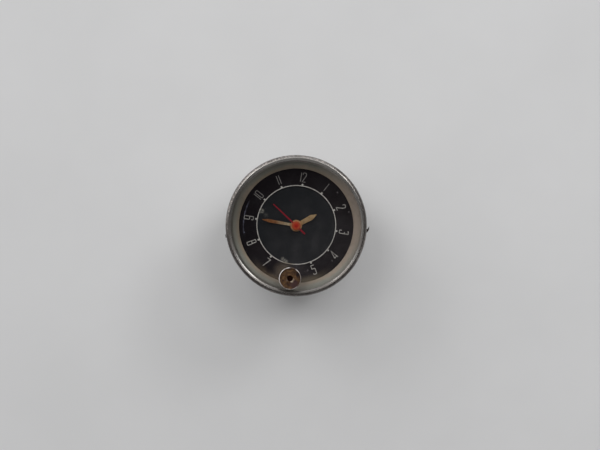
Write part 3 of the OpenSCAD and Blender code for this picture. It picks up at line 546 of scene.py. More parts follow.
# Painted shade on the knob's rim: right and up of its middle, how far, where that ends, and what still shines
KNOB_RIM_SHADE = [
    (KNOB_R, *mm(0.2, 2, 4.3), 0.25),
    (0.7 * MM, KNOB_R, *mm(0.9, 1.9), 0.1),
    (0.5 * MM, -KNOB_R, *mm(4.2, 6.2), 0.4),
]

# Materials


def bezel_chrome():
    """Tarnished chrome, speckled on the shoulder, with rust on the rim; a pale painted reflection on the
    bevel near the top, painted shade on the shoulder, the crest and the rim, and one darkened stain.
    """
    g = Paint("bezel_chrome", metallic=0.86)
    tarnish = [(0.25, (0.115, 0.10, 0.09)), (0.5, (0.185, 0.175, 0.165)), (0.75, (0.29, 0.285, 0.27))]
    pale, shoulder_shade, dirt_and_shade = (0.42, 0.40, 0.375), (0.04, 0.033, 0.03), (0.05, 0.044, 0.04)
    speck, rim_grey, rust = (0.47, 0.42, 0.395), (0.34, 0.335, 0.325), (0.12, 0.062, 0.05)
    grime_and_shade, pit = (0.075, 0.05, 0.042), (0.06, 0.045, 0.035)
    out, height = g.radius(), g.height()
    wear = g.noise(7 * MM, 8)
    shoulder = g.band(out, CREST_R + 0.1 * MM, CREST_R + 0.3 * MM)
    # Painted reflection: the bevel is painted pale round a place at the top, where it looks lit.
    wear_and_sheen = g.product(g.spot(*BEVEL_PALE), g.without(shoulder))
    colour = g.mix(wear_and_sheen, g.ramp(wear, tarnish), pale)
    # Painted shade: the shoulder is darkened at the lower left, right, bottom and lower right, where it faces
    # away from the light; one spot darkens a stain.
    clear = g.product(*(g.without(g.spot(*mark)) for mark in SHOULDER_SHADE_AND_STAIN))
    colour = g.mix(g.product(shoulder, g.without(clear)), colour, shoulder_shade)
    # Painted shade: a dark band along the crest, growing away from the place at the top.
    crest = g.between(out, *(CREST_R + step for step in mm(-0.5, -0.3, 0.15, 0.4)))
    colour = g.mix(g.product(crest, g.band(g.radius(PALE_AT), *CREST_SHADE)), colour, dirt_and_shade)
    upper = g.band(height, BEZEL_TOP - 4 * MM, BEZEL_TOP - 1 * MM, 0.25, 1.0)
    specks = g.product(shoulder, upper, g.patches(0.8 * MM, 3, 0.48, 0.62, 0.0, 0.75), clear)
    colour = g.mix(specks, colour, speck)
    rim = g.band(height, *RIM_WORN, 1.0, 0.0)
    colour = g.mix(g.product(rim, 0.6), colour, rim_grey)
    colour = g.mix(g.product(rim, g.patches(4 * MM, 6, 0.45, 0.6, 0.0, 0.5)), colour, rust)
    # Painted shade on the rim at the right and the bottom, where it reflects the shaded floor.
    for mark in RIM_SHADE:
        colour = g.mix(g.product(rim, g.spot(*mark)), colour, grime_and_shade)
    colour = g.mix(g.patches(0.6 * MM, 4, 0.36, 0.28, 0.0, 0.6), colour, pit)
    g.set(Base_Color=colour, Roughness=g.band(wear, 0.3, 0.7, 0.32, 0.2))
    return g.grain(0.4 * MM, 0.006 * MM, 4)


def ring_grey():
    """Satin grey ring: tan where it meets the dial, grey-green above, with a painted shadow along its upper
    edge and painted light on that edge near the top.
    """
    g = Paint("ring_grey", metallic=0.2)
    slope = [
        (0.0, (0.30, 0.245, 0.18)), (0.3, (0.25, 0.228, 0.183)),
        (0.6, (0.225, 0.226, 0.195)), (1.0, (0.19, 0.192, 0.166)),
    ]
    tan, stain, dirt_and_shade = (0.30, 0.245, 0.195), (0.285, 0.225, 0.183), (0.04, 0.04, 0.034)
    pale, dusk = (0.42, 0.39, 0.36), (0.13, 0.125, 0.095)
    out = g.radius()
    rise = g.band(out, WINDOW_R + 0.1 * MM, WINDOW_LIP_R - 0.3 * MM)
    low_tan = g.product(g.patches(16 * MM, 4, 0.45, 0.62, 0.0, 0.8), g.band(rise, 0.35, 0.8, 1.0, 0.2))
    colour = g.mix(low_tan, g.ramp(rise, slope), tan)
    colour = g.mix(g.spot(*SLOPE_STAIN), colour, stain)
    # Painted shadow along the upper edge, where the bezel's lip shades the ring, strongest at the lower left
    # and faint all round.
    edge = g.band(out, WINDOW_LIP_R - 0.6 * MM, WINDOW_LIP_R - 0.3 * MM)
    inner_edge = g.band(out, WINDOW_LIP_R - 0.85 * MM, WINDOW_LIP_R - 0.55 * MM)
    dark = g.product(inner_edge, g.math("ADD", g.spot(*SLOPE_EDGE_SHADOW), g.product(edge, 0.2)))
    colour = g.mix(dark, colour, dirt_and_shade)
    # Painted light: the upper edge is painted pale near the top, to take away the shade there.
    colour = g.mix(g.product(edge, g.spot(*SLOPE_PALE)), colour, pale)
    for mark, grime_and_shade in SLOPE_GRIME:
        colour = g.mix(g.spot(*mark), colour, grime_and_shade)
    colour = g.mix(g.patches(1.6 * MM, 6, 0.5, 0.75, 0.0, 0.45), colour, dusk)
    g.set(Base_Color=colour)
    return g.grain(0.3 * MM, 0.01 * MM)


def dial_lacquer():
    """Black lacquer: bluish in the sunk centre, warmer outside, with smears, a painted reflection near nine,
    dust and a brown haze.
    """
    g = Paint("dial_lacquer", roughness=0.6, specular=0.06)
    sunk, raised, cloud = (0.0052, 0.0062, 0.0074), (0.0028, 0.0014, 0.0023), (0.02, 0.021, 0.022)
    left_haze, right_haze = (0.086, 0.0645, 0.042), (0.100, 0.082, 0.057)
    smear_and_reflection, dust = (0.2, 0.19, 0.165), (0.08, 0.075, 0.07)
    out = g.radius()
    colour = g.mix(g.band(out, SINK_R - 0.1 * MM, SINK_R + 0.1 * MM), sunk, raised)
    colour = g.mix(g.patches(6 * MM, 6, 0.45, 0.8, 0.0, 0.2), colour, cloud)
    haze = g.math("MAXIMUM", g.product(g.band(out, *HAZE_R), g.spot(*KNOB_HAZE)), g.spot(*INNER_HAZE))
    haze = g.product(haze, g.without(g.spot(*HAZE_GAP)), g.patches(4 * MM, 7, 0.2, 0.55, 0.4, 1.0))
    colour = g.mix(haze, colour, g.mix(g.spot(*LEFT_HAZE), right_haze, left_haze))
    # Smears, and near nine a painted reflection of light in the glass, in a pale grey.
    for mark in SMEARS_AND_REFLECTION:
        colour = g.mix(g.product(g.spot(*mark), g.patches(0.6 * MM, 4, 0.38, 0.56)), colour, smear_and_reflection)
    colour = g.mix(g.patches(0.5 * MM, 2, 0.72, 0.78, 0.0, 0.4), colour, dust)
    g.set(Base_Color=colour)
    return g.grain(0.5 * MM, 0.01 * MM)


def print_white():
    """White print that has greyed, with faded numbers."""
    g = Paint("print_white", roughness=0.8, specular=0.2)
    thin, full = (0.20, 0.19, 0.175), (0.37, 0.355, 0.33)
    faded, stain = (0.075, 0.07, 0.068), (0.14, 0.11, 0.065)
    colour = g.ramp(g.noise(0.8 * MM), [(0.3, thin), (0.65, full)])
    numbers = g.band(g.radius(), DOT_AT_R + DOT_R, DIGIT_LOW_R - 0.2 * MM)
    fade = g.band(g.radius(PRINT_FADE_AT), *PRINT_FADE)
    colour = g.mix(g.product(numbers, fade), colour, faded)
    g.set(Base_Color=g.mix(g.spot(*PRINT_STAIN), colour, stain))
    return g.material


def hand_paint(name, dark, light, rust_from, rust_to):
    """Cream paint that has browned on the hub, with rust from one radius to another and past it."""
    g = Paint(name, roughness=0.6, specular=0.1)
    deep_rust, rust, brown = (0.065, 0.021, 0.005), (0.14, 0.053, 0.016), (0.24, 0.108, 0.038)
    paint = g.ramp(g.noise(1.1 * MM, 6), [(0.3, dark), (0.65, light)])
    rust_and_shade = g.ramp(g.noise(0.8 * MM, 6), [(0.3, deep_rust), (0.65, rust)])
    along = g.math("ADD", g.radius(), g.patches(1.5 * MM, 5, 0.2, 0.8, -2 * MM, 2 * MM))
    colour = g.mix(g.band(along, rust_from, rust_to), paint, rust_and_shade)
    g.set(Base_Color=g.mix(g.spot(*HUB_BROWN), colour, brown))
    return g.grain(0.25 * MM, 0.02 * MM)


def second_paint():
    """Red paint: orange on the hub, redder towards the pivot, crimson on the blade."""
    g = Paint("second_paint", roughness=0.55, specular=0.05)
    inner, outer, blade = (0.222, 0.0122, 0.0034), (0.235, 0.0385, 0.0125), (0.14, 0.003, 0.009)
    cap, dirt_and_shade = (0.195, 0.005, 0.001), (0.12, 0.01, 0.007)
    out = g.radius()
    hub = g.ramp(g.band(out, 0.6 * MM, 1.6 * MM), [(0.0, inner), (1.0, outer)])
    colour = g.mix(g.band(out, SECOND_HUB_R - 0.1 * MM, SECOND_HUB_R + 0.05 * MM), hub, blade)
    colour = g.mix(g.spot((0, 0), SECOND_CAP_R - 0.1 * MM, SECOND_CAP_R + 0.05 * MM, 0.85), colour, cap)
    g.set(Base_Color=g.mix(g.patches(0.7 * MM, 5, 0.5, 0.75, 0.0, 0.35), colour, dirt_and_shade))
    return g.grain(0.25 * MM, 0.01 * MM)


def knob_rust():
    """Rusted cup: brown floor with dark patches and painted highlights on the boss, and a rim rubbed bright
    in places, with painted shade on it away from the left.
    """
    g = Paint("knob_rust", roughness=0.6, specular=0.2)
    rust = [(0.35, (0.02, 0.008, 0.004)), (0.5, (0.06, 0.029, 0.012)), (0.65, (0.118, 0.062, 0.025))]
    bright = (0.85, 0.81, 0.79)
    cup = g.ramp(g.noise(1.3 * MM, 7), rust)
    # The third and fourth patches are painted highlights on the boss.
    for right, up, size, strength, tint in KNOB_PATCHES:
        cup = g.mix(g.spot(from_knob(right, up), 0.35 * size, size, strength), cup, tint)
    rim = g.band(g.radius(KNOB_AT), KNOB_R - 0.30 * MM, KNOB_R - 0.22 * MM)
    wear_and_sheen = g.product(rim, g.patches(2.2 * MM, 5, 0.4, 0.55, 0.35, 1.0))
    # Painted shade: the bright rim is dimmed on its right, top and bottom, so that it shines on the left.
    for right, up, reach, end, left in KNOB_RIM_SHADE:
        wear_and_sheen = g.product(wear_and_sheen, g.band(g.radius(from_knob(right, up)), reach, end, left, 1.0))
    g.set(Base_Color=g.mix(wear_and_sheen, cup, bright), Metallic=g.band(wear_and_sheen, 0.0, 1.0, 0.3, 1.0))
    return g.grain(0.3 * MM, 0.05 * MM, 6)


def dusty_glass():
    """Clear glass with a thin film of dust, thicker beside the knob, and scuffs near its left edge."""
    g = Paint("dusty_glass", roughness=0.08)
    dust, scuffed = (0.5, 0.45, 0.46), (0.30, 0.31, 0.42)
    fresnel = g.fill(g.add("ShaderNodeFresnel"), IOR=1.45).outputs["Fac"]
    outer_face = g.without(g.add("ShaderNodeNewGeometry").outputs["Backfacing"])
    shine = g.product(outer_face, g.band(fresnel, 0.05, 1.0, 0.0, 0.5))
    film = g.product(g.patches(5 * MM, 6, 0.3, 0.8, 0.3, 1.0), g.spot(*FILM))
    scuff = g.between(g.radius(SCUFF_ARC_AT), *SCUFF_ARC)
    scuff = g.product(scuff, g.spot(*SCUFF), g.patches(2 * MM, 5, 0.4, 0.6))
    alpha = g.math("ADD", film, g.spot(*KNOB_FILM), scuff, shine, *(g.spot(*speck) for speck in DUST))
    g.set(Base_Color=g.mix(g.spot(*SCUFF_TINT), dust, scuffed), Alpha=alpha)
    return g.material


def case_zinc():
    """Dull zinc plate with white bloom and brown stains towards the back."""
    g = Paint("case_zinc", metallic=0.9)
    bloom = [(0.3, (0.30, 0.295, 0.27)), (0.5, (0.43, 0.425, 0.40)), (0.75, (0.55, 0.55, 0.52))]
    brown = (0.24, 0.13, 0.06)
    cloud = g.noise(9 * MM, 8)
    rearward = g.band(g.height(), CASE_LOW + 30 * MM, CASE_LOW, 0.2, 0.8)
    stain = g.product(g.patches(5 * MM, 8, 0.52, 0.68), rearward)
    colour = g.mix(stain, g.ramp(cloud, bloom), brown)
    g.set(Base_Color=colour, Roughness=g.band(cloud, 0.3, 0.7, 0.6, 0.38))
    return g.grain(0.5 * MM, 0.02 * MM, 4)


CHROME = bezel_chrome()
RING = ring_grey()
DIAL = dial_lacquer()
PRINT = print_white()
HOUR_PAINT = hand_paint("hour_paint", (0.135, 0.08, 0.033), (0.225, 0.155, 0.08), 12 * MM, 16 * MM)
MINUTE_PAINT = hand_paint("minute_paint", (0.15, 0.11, 0.062), (0.25, 0.195, 0.12), 4 * MM, 10.5 * MM)
SECOND = second_paint()
KNOB = knob_rust()
GLASS = dusty_glass()
ZINC = case_zinc()
STEEL = metal("bright_steel", (0.38, 0.37, 0.35), (0.60, 0.59, 0.57), (0.25, 0.45), 3 * MM,
              stain=(0.26, 0.15, 0.08))
BLUED = metal("blued_steel", (0.05, 0.07, 0.15), (0.12, 0.16, 0.30), (0.2, 0.35), 2 * MM)
BRASS = metal("old_brass", (0.42, 0.29, 0.10), (0.66, 0.50, 0.21), (0.25, 0.45), 4 * MM,
              stain=(0.25, 0.16, 0.07))
DARK_RUST_AND_SHADE = metal("rusted_steel", (0.012, 0.005, 0.004), (0.03, 0.012, 0.008), (0.6, 0.8), 1.5 * MM)
IRON = metal("soft_iron", (0.14, 0.14, 0.145), (0.27, 0.27, 0.28), (0.4, 0.6), 3 * MM,
             stain=(0.20, 0.10, 0.05))
COPPER = metal("wound_copper", (0.36, 0.14, 0.05), (0.58, 0.26, 0.11), (0.3, 0.45), 1 * MM,
               grit=0.15 * MM, depth=0.04 * MM)
FIBRE = matt("red_fibre", (0.13, 0.04, 0.02), (0.24, 0.085, 0.04), 0.65)
PAPER = matt("pressed_paper", (0.36, 0.26, 0.14), (0.50, 0.38, 0.22), 0.75)
SEAL = matt("seal_rubber", (0.012, 0.012, 0.012), (0.03, 0.03, 0.03), 0.7)

SLOT_LOOKS = {
    "chrome": CHROME, "glass": GLASS, "seal": SEAL, "grey_ring": RING, "dial_black": DIAL, "case_steel": ZINC,
    "steel": STEEL, "blued_steel": BLUED, "brass": BRASS, "fibre": FIBRE, "knob_metal": KNOB,
    "hand_cream": HOUR_PAINT, "hand_red": SECOND, "iron": IRON, "copper_wire": COPPER, "paper": PAPER,
}


def dress_frame():
    """Gives each solid of the frame the look of its material slot, apart from the stem, which gets near-black
    rusty steel as painted shade in the knob's hole.
    """
    for part in frame["record"]["subparts"]:
        mesh = nodes[part["node"]].data
        mesh.materials.clear()
        # Painted shade: the stem is given near-black rusty steel so that the knob's hole looks dark.
        rust_and_shade = part["node"] == "setting_stem"
        mesh.materials.append(DARK_RUST_AND_SHADE if rust_and_shade else SLOT_LOOKS[part["material_slot"]])


def stands_for(piece, body, slot, *replaced):
    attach(piece, body)
    if replaced:
        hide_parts(*replaced)


# Front of the clock


def bezel():
    """A spun ring: rolled rim, round shoulder up to the crest, and a crowned bevel down to the glass."""
    rear_r, rim_c, inside_r = BARREL_R + BARREL_GAP, BEZEL_R - RIM_ROUND, WINDOW_LIP_R + WALL
    rim_end = math.degrees(math.acos((FLANK_R - rim_c) / RIM_ROUND))
    turn = math.radians(SHOULDER_END)
    tilt = 90 + math.degrees(math.atan(BEVEL_SLOPE))
    crest = arc((CREST_R, BEZEL_TOP - CREST_ROUND), CREST_ROUND, SHOULDER_END, tilt - BEVEL_CROWN, 8)
    round_r = (FLANK_R - crest[0][0]) / (1 - math.cos(turn))
    round_c = (FLANK_R - round_r, crest[0][1] - round_r * math.sin(turn))
    bevel_low = BEZEL_TOP - BEVEL_SLOPE * (CREST_R - WINDOW_LIP_R)
    bevel_in = BEZEL_TOP - WALL - BEVEL_SLOPE * (CREST_R - inside_r)
    lip_c = (WINDOW_LIP_R + LIP_ROUND, bevel_low - LIP_DROP)
    lip = arc(lip_c, LIP_ROUND, tilt + BEVEL_CROWN, 180, 6)
    profile = [(rear_r, 0)] + arc((rim_c, RIM_ROUND), RIM_ROUND, -90, rim_end, 12)
    profile += arc(round_c, round_r, 0, SHOULDER_END, 24)[:-1] + crest + crown(crest[-1], lip[0], tilt) + lip
    profile += [(WINDOW_LIP_R, GASKET_TOP), (inside_r, GASKET_TOP), (inside_r, bevel_in)]
    profile += arc((CREST_R, BEZEL_TOP - SHOULDER_R), SHOULDER_R - WALL, 90, 0, 10)
    profile += [(FLANK_R - WALL, WALL), (rear_r, WALL)]
    ring = lathe("bezel_ring", profile, CHROME, segments=288, wobble=DENT)
    right = crimp_tab("tab_right", 2, 0.9 * MM, 1.6 * MM, DARK_RUST_AND_SHADE)
    left = crimp_tab("tab_left", 195, 0.3 * MM, 0, CHROME)
    stands_for(join("bezel_ring", [ring, right, left]), "clock_body", "chrome", "bezel")


def crown(start, end, tilt):
    """Points between the bevel's ends, on an arc that bulges a little."""
    start, end = Vector(start), Vector(end)
    chord, half = end - start, math.radians(BEVEL_CROWN)
    r = chord.length / 2 / math.sin(half)
    inward = Vector((-chord.y, chord.x)).normalized() * r * math.cos(half)
    return arc((start + end) / 2 + inward, r, tilt - BEVEL_CROWN, tilt + BEVEL_CROWN, 8)[1:-1]


def crimp_tab(name, direction, reach, lean, material):
    """A tongue of the rear lip that has sprung out, bent a little forwards and leaning to one side."""
    thick = 0.45 * MM
    a = math.radians(direction)
    outward, across = Vector((math.cos(a), math.sin(a), 0)), Vector((-math.sin(a), math.cos(a), 0))
    # At the root, at the bend and at the tip: how far out, how far aside, how high and how wide
    spine = [
        (BEZEL_R - 0.9 * MM, 0, 0.25 * MM, 2.0 * MM),
        (BEZEL_R + 0.35 * reach, 0.2 * lean, 0.25 * MM, 1.4 * MM),
        (BEZEL_R + reach, lean, 0.55 * MM, 1.4 * MM),
    ]
    verts = []
    for r, aside, z, width in spine:
        for side, lift in ((-1, 0), (1, 0), (1, thick), (-1, thick)):
            verts.append(outward * r + across * (aside + side * width / 2) + Vector((0, 0, z + lift)))
    faces = [[0, 1, 2, 3], [8, 11, 10, 9]] + quads(len(spine), 4, round_rows=False)
    return smooth(new_object(name, verts, faces, material))


def glass():
    """A flat disc with eased edges and a round hole for the stem."""
    ease, bush_lip = 0.15 * MM, 0.55 * MM
    inset = LENS_R - ease
    profile = [(0, LENS_LOW), (inset, LENS_LOW), (LENS_R, LENS_LOW + ease)]
    profile += [(LENS_R, LENS_TOP - ease), (inset, LENS_TOP), (0, LENS_TOP)]
    disc = lathe("glass_disc", profile, GLASS, segments=128, closed=False)
    disc = drilled(disc, KNOB_AT, half_width("stem_bush") - bush_lip, LENS_LOW - MM, LENS_TOP + MM, 48)
    stands_for(disc, "clock_body", "glass", "lens")


def sloping_ring():
    """A sheet that slopes from the glass down to its foot on the dial."""
    sheet, top_r, foot_top = 0.55 * MM, WINDOW_LIP_R + 0.1 * MM, DIAL_TOP + 0.35 * MM
    profile = [(WINDOW_R, DIAL_TOP), (WINDOW_R, foot_top), (WINDOW_R + 0.08 * MM, foot_top + 0.12 * MM)]
    profile += [(top_r, LENS_LOW), (LENS_R, LENS_LOW), (LENS_R, LENS_LOW - sheet)]
    profile += [(top_r + sheet, LENS_LOW - sheet), (WINDOW_R + sheet, foot_top), (WINDOW_R + sheet, DIAL_TOP)]
    stands_for(lathe("sloping_ring", profile, RING), "clock_body", "grey_ring", "spacer_ring")


def dial():
    """A plate with a sunk centre, and with holes for the hands and the stem."""
    hands_hole_r, stem_hole_r, step = 2.2 * MM, 1.5 * MM, 0.12 * MM
    sunk = DIAL_TOP - SINK
    profile = [(hands_hole_r, DIAL_LOW), (hands_hole_r, sunk), (SINK_R - step, sunk)]
    profile += [(SINK_R, DIAL_TOP), (DIAL_R, DIAL_TOP), (DIAL_R, DIAL_LOW)]
    plate = lathe("dial_plate", profile, DIAL)
    plate = drilled(plate, KNOB_AT, stem_hole_r, DIAL_LOW - MM, DIAL_TOP + MM, 48)
    stands_for(plate, "clock_body", "dial_black", "dial")


# Print on the dial

# Each digit: its width, its corner radius, and its strokes in a box of 1 by 1 from the lower left corner.
# A stroke that ends where it starts is a loop, and a point with a third value is a sharp corner.
DIGITS = {
    "0": (1.25 * MM, 0.45 * MM, [[(0, 0), (1, 0), (1, 1), (0, 1), (0, 0)]]),
    "1": (0.0, 0.0, [[(0, 0), (0, 1)]]),
    "2": (1.4 * MM, 0.6 * MM, [[(0, 0.76), (0, 1), (1, 1), (1, 0.68), (0, 0, "sharp"), (1, 0)]]),
    "3": (1.35 * MM, 0.4 * MM, [[(0.15, 0.9), (0.15, 1), (1, 1, "sharp"), (1, 0), (0, 0), (0, 0.25)],
                                [(0.45, 0.58), (1, 0.58)]]),
    "4": (1.7 * MM, 0.0, [[(0.78, 0), (0.78, 1), (0, 0.19)], [(0, 0.19), (1, 0.19)]]),
    "5": (1.3 * MM, 0.3 * MM, [[(1, 1), (0, 1, "sharp"), (0, 0.62, "sharp"), (1, 0.62), (1, 0), (0, 0),
                                (0, 0.14)]]),
    "7": (1.55 * MM, 0.0, [[(0, 1), (1, 1), (0.3, 0)]]),
    "8": (1.3 * MM, 0.25 * MM, [[(0, 0), (1, 0), (1, 0.54), (0, 0.54), (0, 0)],
                                [(0.06, 0.54), (0.06, 1), (0.94, 1), (0.94, 0.54)]]),
    "9": (1.35 * MM, 0.25 * MM, [[(0, 0.42), (1, 0.42), (1, 1), (0, 1), (0, 0.42)],
                                 [(1, 0.6), (1, 0), (0, 0), (0, 0.2)]]),
}
PRINTED_HOURS = (1, 2, 3, 4, 5, 7, 8, 9, 10, 11, 12)
READ_FROM_CENTRE = (4, 5, 7, 8)


def rounded(points, radius, loop):
    """Points of a polyline with its corners rounded, apart from sharp ones."""
    spots = [Vector(p[:2]) for p in points]
    n = len(spots)
    result = []
    for i, spot in enumerate(spots):
        if (not loop and i in (0, n - 1)) or len(points[i]) > 2 or not radius:
            result.append(tuple(spot))
            continue
        back, ahead = spots[i - 1] - spot, spots[(i + 1) % n] - spot
        reach = min(radius, 0.5 * back.length, 0.5 * ahead.length)
        start, end = spot + back.normalized() * reach, spot + ahead.normalized() * reach
        for t in (0, 0.25, 0.5, 0.75, 1):
            result.append(tuple(start * (1 - t) ** 2 + spot * 2 * t * (1 - t) + end * t ** 2))
    return result


def number_strokes(hour):
    """Strokes of an hour's digits, in metres, standing on y = 0 and centred on x = 0."""
    digits = [DIGITS[digit] for digit in str(hour)]
    gap = ONES_GAP if hour == 11 else DIGIT_GAP
    x = -(sum(width for width, _, _ in digits) + gap * (len(digits) - 1)) / 2
    strokes = []
    for width, radius, lines in digits:
        for line in lines:
            loop = line[0] == line[-1]
            scaled = [(x + width * p[0], DIGIT_H * p[1], *p[2:]) for p in (line[:-1] if loop else line)]
            strokes.append((rounded(scaled, radius, loop), loop))
        x += width + gap
    return strokes


def add_ribbon(verts, faces, points, width, loop, layer):
    """A flat band of ink along a polyline; bands that cross lie in layers of their own."""
    sides = stroke(points, width, loop)
    faces += quads(len(sides), 2, loop, False, len(verts))
    verts += [(point.x, point.y, DIAL_TOP + INK_H * layer) for pair in sides for point in pair]


def printed_dial():
    """The ring, its hour dots and the numbers; the knob stands where six would be."""
    verts, faces = [], []
    add_ribbon(verts, faces, circle(PRINT_RING_R, 180), PRINT_RING_W, True, 1)
    for hour in PRINTED_HOURS:
        a = math.radians(90 - 30 * hour)
        out, across = Vector((math.cos(a), math.sin(a))), Vector((math.sin(a), -math.cos(a)))
        dot = [(x, y, DIAL_TOP + INK_H * 2) for x, y in circle(DOT_R, 16, out * DOT_AT_R)]
        faces.append(list(range(len(verts), len(verts) + len(dot))))
        verts += dot
        for layer, (points, loop) in enumerate(number_strokes(hour), 1):
            if hour in READ_FROM_CENTRE:
                points = [(-x, DIGIT_H - y) for x, y in points]
            placed = [tuple(out * (DIGIT_LOW_R + y) + across * x) for x, y in points]
            add_ribbon(verts, faces, placed, STROKE_W, loop, layer)
    spun = turned([(x, y + PRINT_SHIFT) for x, y, _ in verts], DIAL_TURN)
    verts = [(x, y, v[2]) for (x, y), v in zip(spun, verts)]
    ink = new_object("dial_print", verts, faces, PRINT)
    thicken(ink, 1.5 * INK_H)
    stands_for(ink, "clock_body", "dial_black")


# Hands and knob


def sword_hand(name, node, paint, degrees, length, width, tip_l, hub_r, bore):
    """A stamped hand with a round hub, a blade that widens to a shoulder, and eased edges."""
    low, high = bottom(node), top(node)
    blade_low = (low + high) / 2
    blade_top = blade_low + HAND_T
    hub_ease, collar = 0.15 * MM, 0.4 * MM
    side = [(0.75 * width / 2, 0), (width / 2, length - tip_l), (0.12 * MM, length)]
    outline = turned(side + [(-x, y) for x, y in reversed(side)], degrees + DIAL_TURN)
    profile = [(bore, low), (bore, high), (hub_r - hub_ease, blade_top), (hub_r, blade_low + hub_ease)]
    profile += [(hub_r, blade_low), (bore + collar, low)]
    blade = prism(name, outline, blade_low, blade_top, paint, 0.08 * MM)
    stands_for(join(name, [blade, lathe("hub", profile, paint, segments=64)]), node, "hand_cream", node)


def second_hand():
    """A straight hand with a tail, and a hub whose cap covers the pivot."""
    low, high, cap_top = bottom("second_hand"), top("second_hand"), top("seconds_wheel") + 0.03 * MM
    half, tip, tail, length = mm(0.35, 0.21, 5.1, 13.3)
    ease = 0.1 * MM
    blade = [(-half, -tail), (half, -tail), (half, 0), (tip, length), (-tip, length), (-half, 0)]
    outline = turned(blade, SECOND_DEG + DIAL_TURN)
    profile = [(0, low), (SECOND_HUB_R, low), (SECOND_HUB_R, high - ease), (SECOND_HUB_R - 1.5 * ease, high)]
    profile += [(SECOND_CAP_R + ease, high), (SECOND_CAP_R, cap_top - 0.5 * ease)]
    profile += [(SECOND_CAP_R - ease, cap_top), (0, cap_top)]
    parts = [
        prism("second_pointer", outline, low, low + HAND_T, SECOND, 0.06 * MM),
        lathe("hub", profile, SECOND, segments=64, closed=False),
    ]
    stands_for(join("second_pointer", parts), "second_hand", "hand_red", "second_hand")


def hands():
    """The three hands; the sizes given are length, width, length of the tip, and radii of hub and bore."""
    sword_hand("hour_pointer", "hour_hand", HOUR_PAINT, HOUR_DEG, *mm(9.8, 2.2, 2.42, 2.45, 2.02))
    sword_hand("minute_pointer", "minute_hand", MINUTE_PAINT, MINUTE_DEG, *mm(14.5, 1.4, 2.8, 2.3, 1.42))
    second_hand()


def knob():
    """A shallow cup with a rolled rim, and a boss with a hole in its floor."""
    rim, bore, boss_r, boss_h = mm(0.35, 1.22, 1.8, 0.4)
    outer_ease, corner, ease = mm(0.3, 0.25, 0.15)
    cup_low, inner_r = KNOB_LOW + 0.7 * (KNOB_TOP - KNOB_LOW), KNOB_R - rim
    boss_top = cup_low + boss_h
    profile = [(bore, KNOB_LOW), (KNOB_R - outer_ease, KNOB_LOW), (KNOB_R, KNOB_LOW + outer_ease)]
    profile += arc((KNOB_R - rim / 2, KNOB_TOP - rim / 2), rim / 2, 0, 180, 8)
    profile += [(inner_r, cup_low + corner), (inner_r - corner, cup_low)]
    profile += [(boss_r + ease, cup_low), (boss_r, cup_low + ease)]
    profile += arc((boss_r - ease, boss_top - ease), ease, 0, 90, 4)
    profile += [(bore + ease, boss_top), (bore, boss_top - ease)]
    cup = lathe("knob_cup", profile, KNOB, at=KNOB_AT, segments=96, wobble=DENT)
    stands_for(cup, "setting_knob", "knob_metal", "setting_knob")


def stem_coil():
    """The stem's return spring: round wire in open turns, made at one length; the real spring shortens as the
    knob is pushed in.
    """
    low, high = bottom("stem_spring"), top("stem_spring")
    at = centre_of("stem_spring")
    wire, turns, steps, sides = 0.2 * MM, 5, 24, 10
    coil_r = half_width("stem_spring") - wire
    rise = high - low - 2 * wire
    rows = turns * steps + 1
    verts = []
    for i in range(rows):
        a = 2 * math.pi * i / steps
        for r, z in circle(wire, sides, (coil_r, low + wire + rise * i / (rows - 1))):
            verts.append((at[0] + r * math.cos(a), at[1] + r * math.sin(a), z))
    faces = [list(range(sides)), list(range(len(verts) - 1, len(verts) - sides - 1, -1))]
    faces += quads(rows, sides, round_rows=False)
    spring = smooth(new_object("stem_coil", verts, faces, STEEL))
    stands_for(spring, "clock_body", "steel", "stem_spring")
    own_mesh(spring)


# Case and the back


def can():
    """The drawn can: rounded back edge, flange, punched holes, and a collar round the lamp's hole."""
    inner, neck_r = BARREL_R - CASE_WALL, BARREL_R - 0.4 * MM
    back_in = CASE_LOW + CASE_WALL
    flange_low, flange_top = WALL, WALL + CASE_WALL
    inside_corner = CASE_CORNER - CASE_WALL
    profile = [(0, CASE_LOW)] + arc((BARREL_R - CASE_CORNER, CASE_LOW + CASE_CORNER), CASE_CORNER, -90, 0, 12)
    profile += [(BARREL_R, 0), (neck_r, 0), (neck_r, flange_low)]
    profile += [(FLANGE_R, flange_low), (FLANGE_R, flange_top), (inner, flange_top)]
    profile += arc((inner - inside_corner, back_in + inside_corner), inside_corner, 0, -90, 8)
    body = lathe("drawn_can", profile + [(0, back_in)], ZINC, closed=False)
    lamp_at = mount_at("lamp_hole")
    holes = [(lamp_at, LAMP_R), (mount_at("power_terminal"), TERMINAL_HOLE_R)]
    for at, r in holes + [(at, STUD_HOLE_R) for at in STUD_ATS]:
        body = drilled(body, at, r, CASE_LOW - MM, back_in + 0.05 * MM, 64)
    collar_r, collar_low, collar_top = LAMP_R + 0.8 * MM, back_in - 0.1 * MM, back_in + 1.2 * MM
    section = [(LAMP_R, collar_low), (collar_r, collar_low), (collar_r, collar_top), (LAMP_R, collar_top)]
    collar = lathe("lamp_collar", section, ZINC, at=lamp_at, segments=96)
    stands_for(join("drawn_can", [body, collar]), "clock_body", "case_steel", "case")


def threaded_rod(name, at, low, high, thread_top, material):
    """A rod with a rounded tip, whose thread runs as ridges up to a height."""
    z = low + 0.3 * MM
    shank_r = 0.82 * STUD_R
    profile = [(0, low), (0.7 * STUD_R, low), (THREAD_CORE_R, z)]
    while z + THREAD_PITCH < thread_top:
        profile += [(STUD_R, z + 0.4 * THREAD_PITCH), (STUD_R, z + 0.5 * THREAD_PITCH)]
        profile += [(THREAD_CORE_R, z + 0.9 * THREAD_PITCH)]
        z += THREAD_PITCH
    profile += [(shank_r, z), (shank_r, high), (0, high)]
    return lathe(name, profile, material, at=at, segments=48, closed=False)


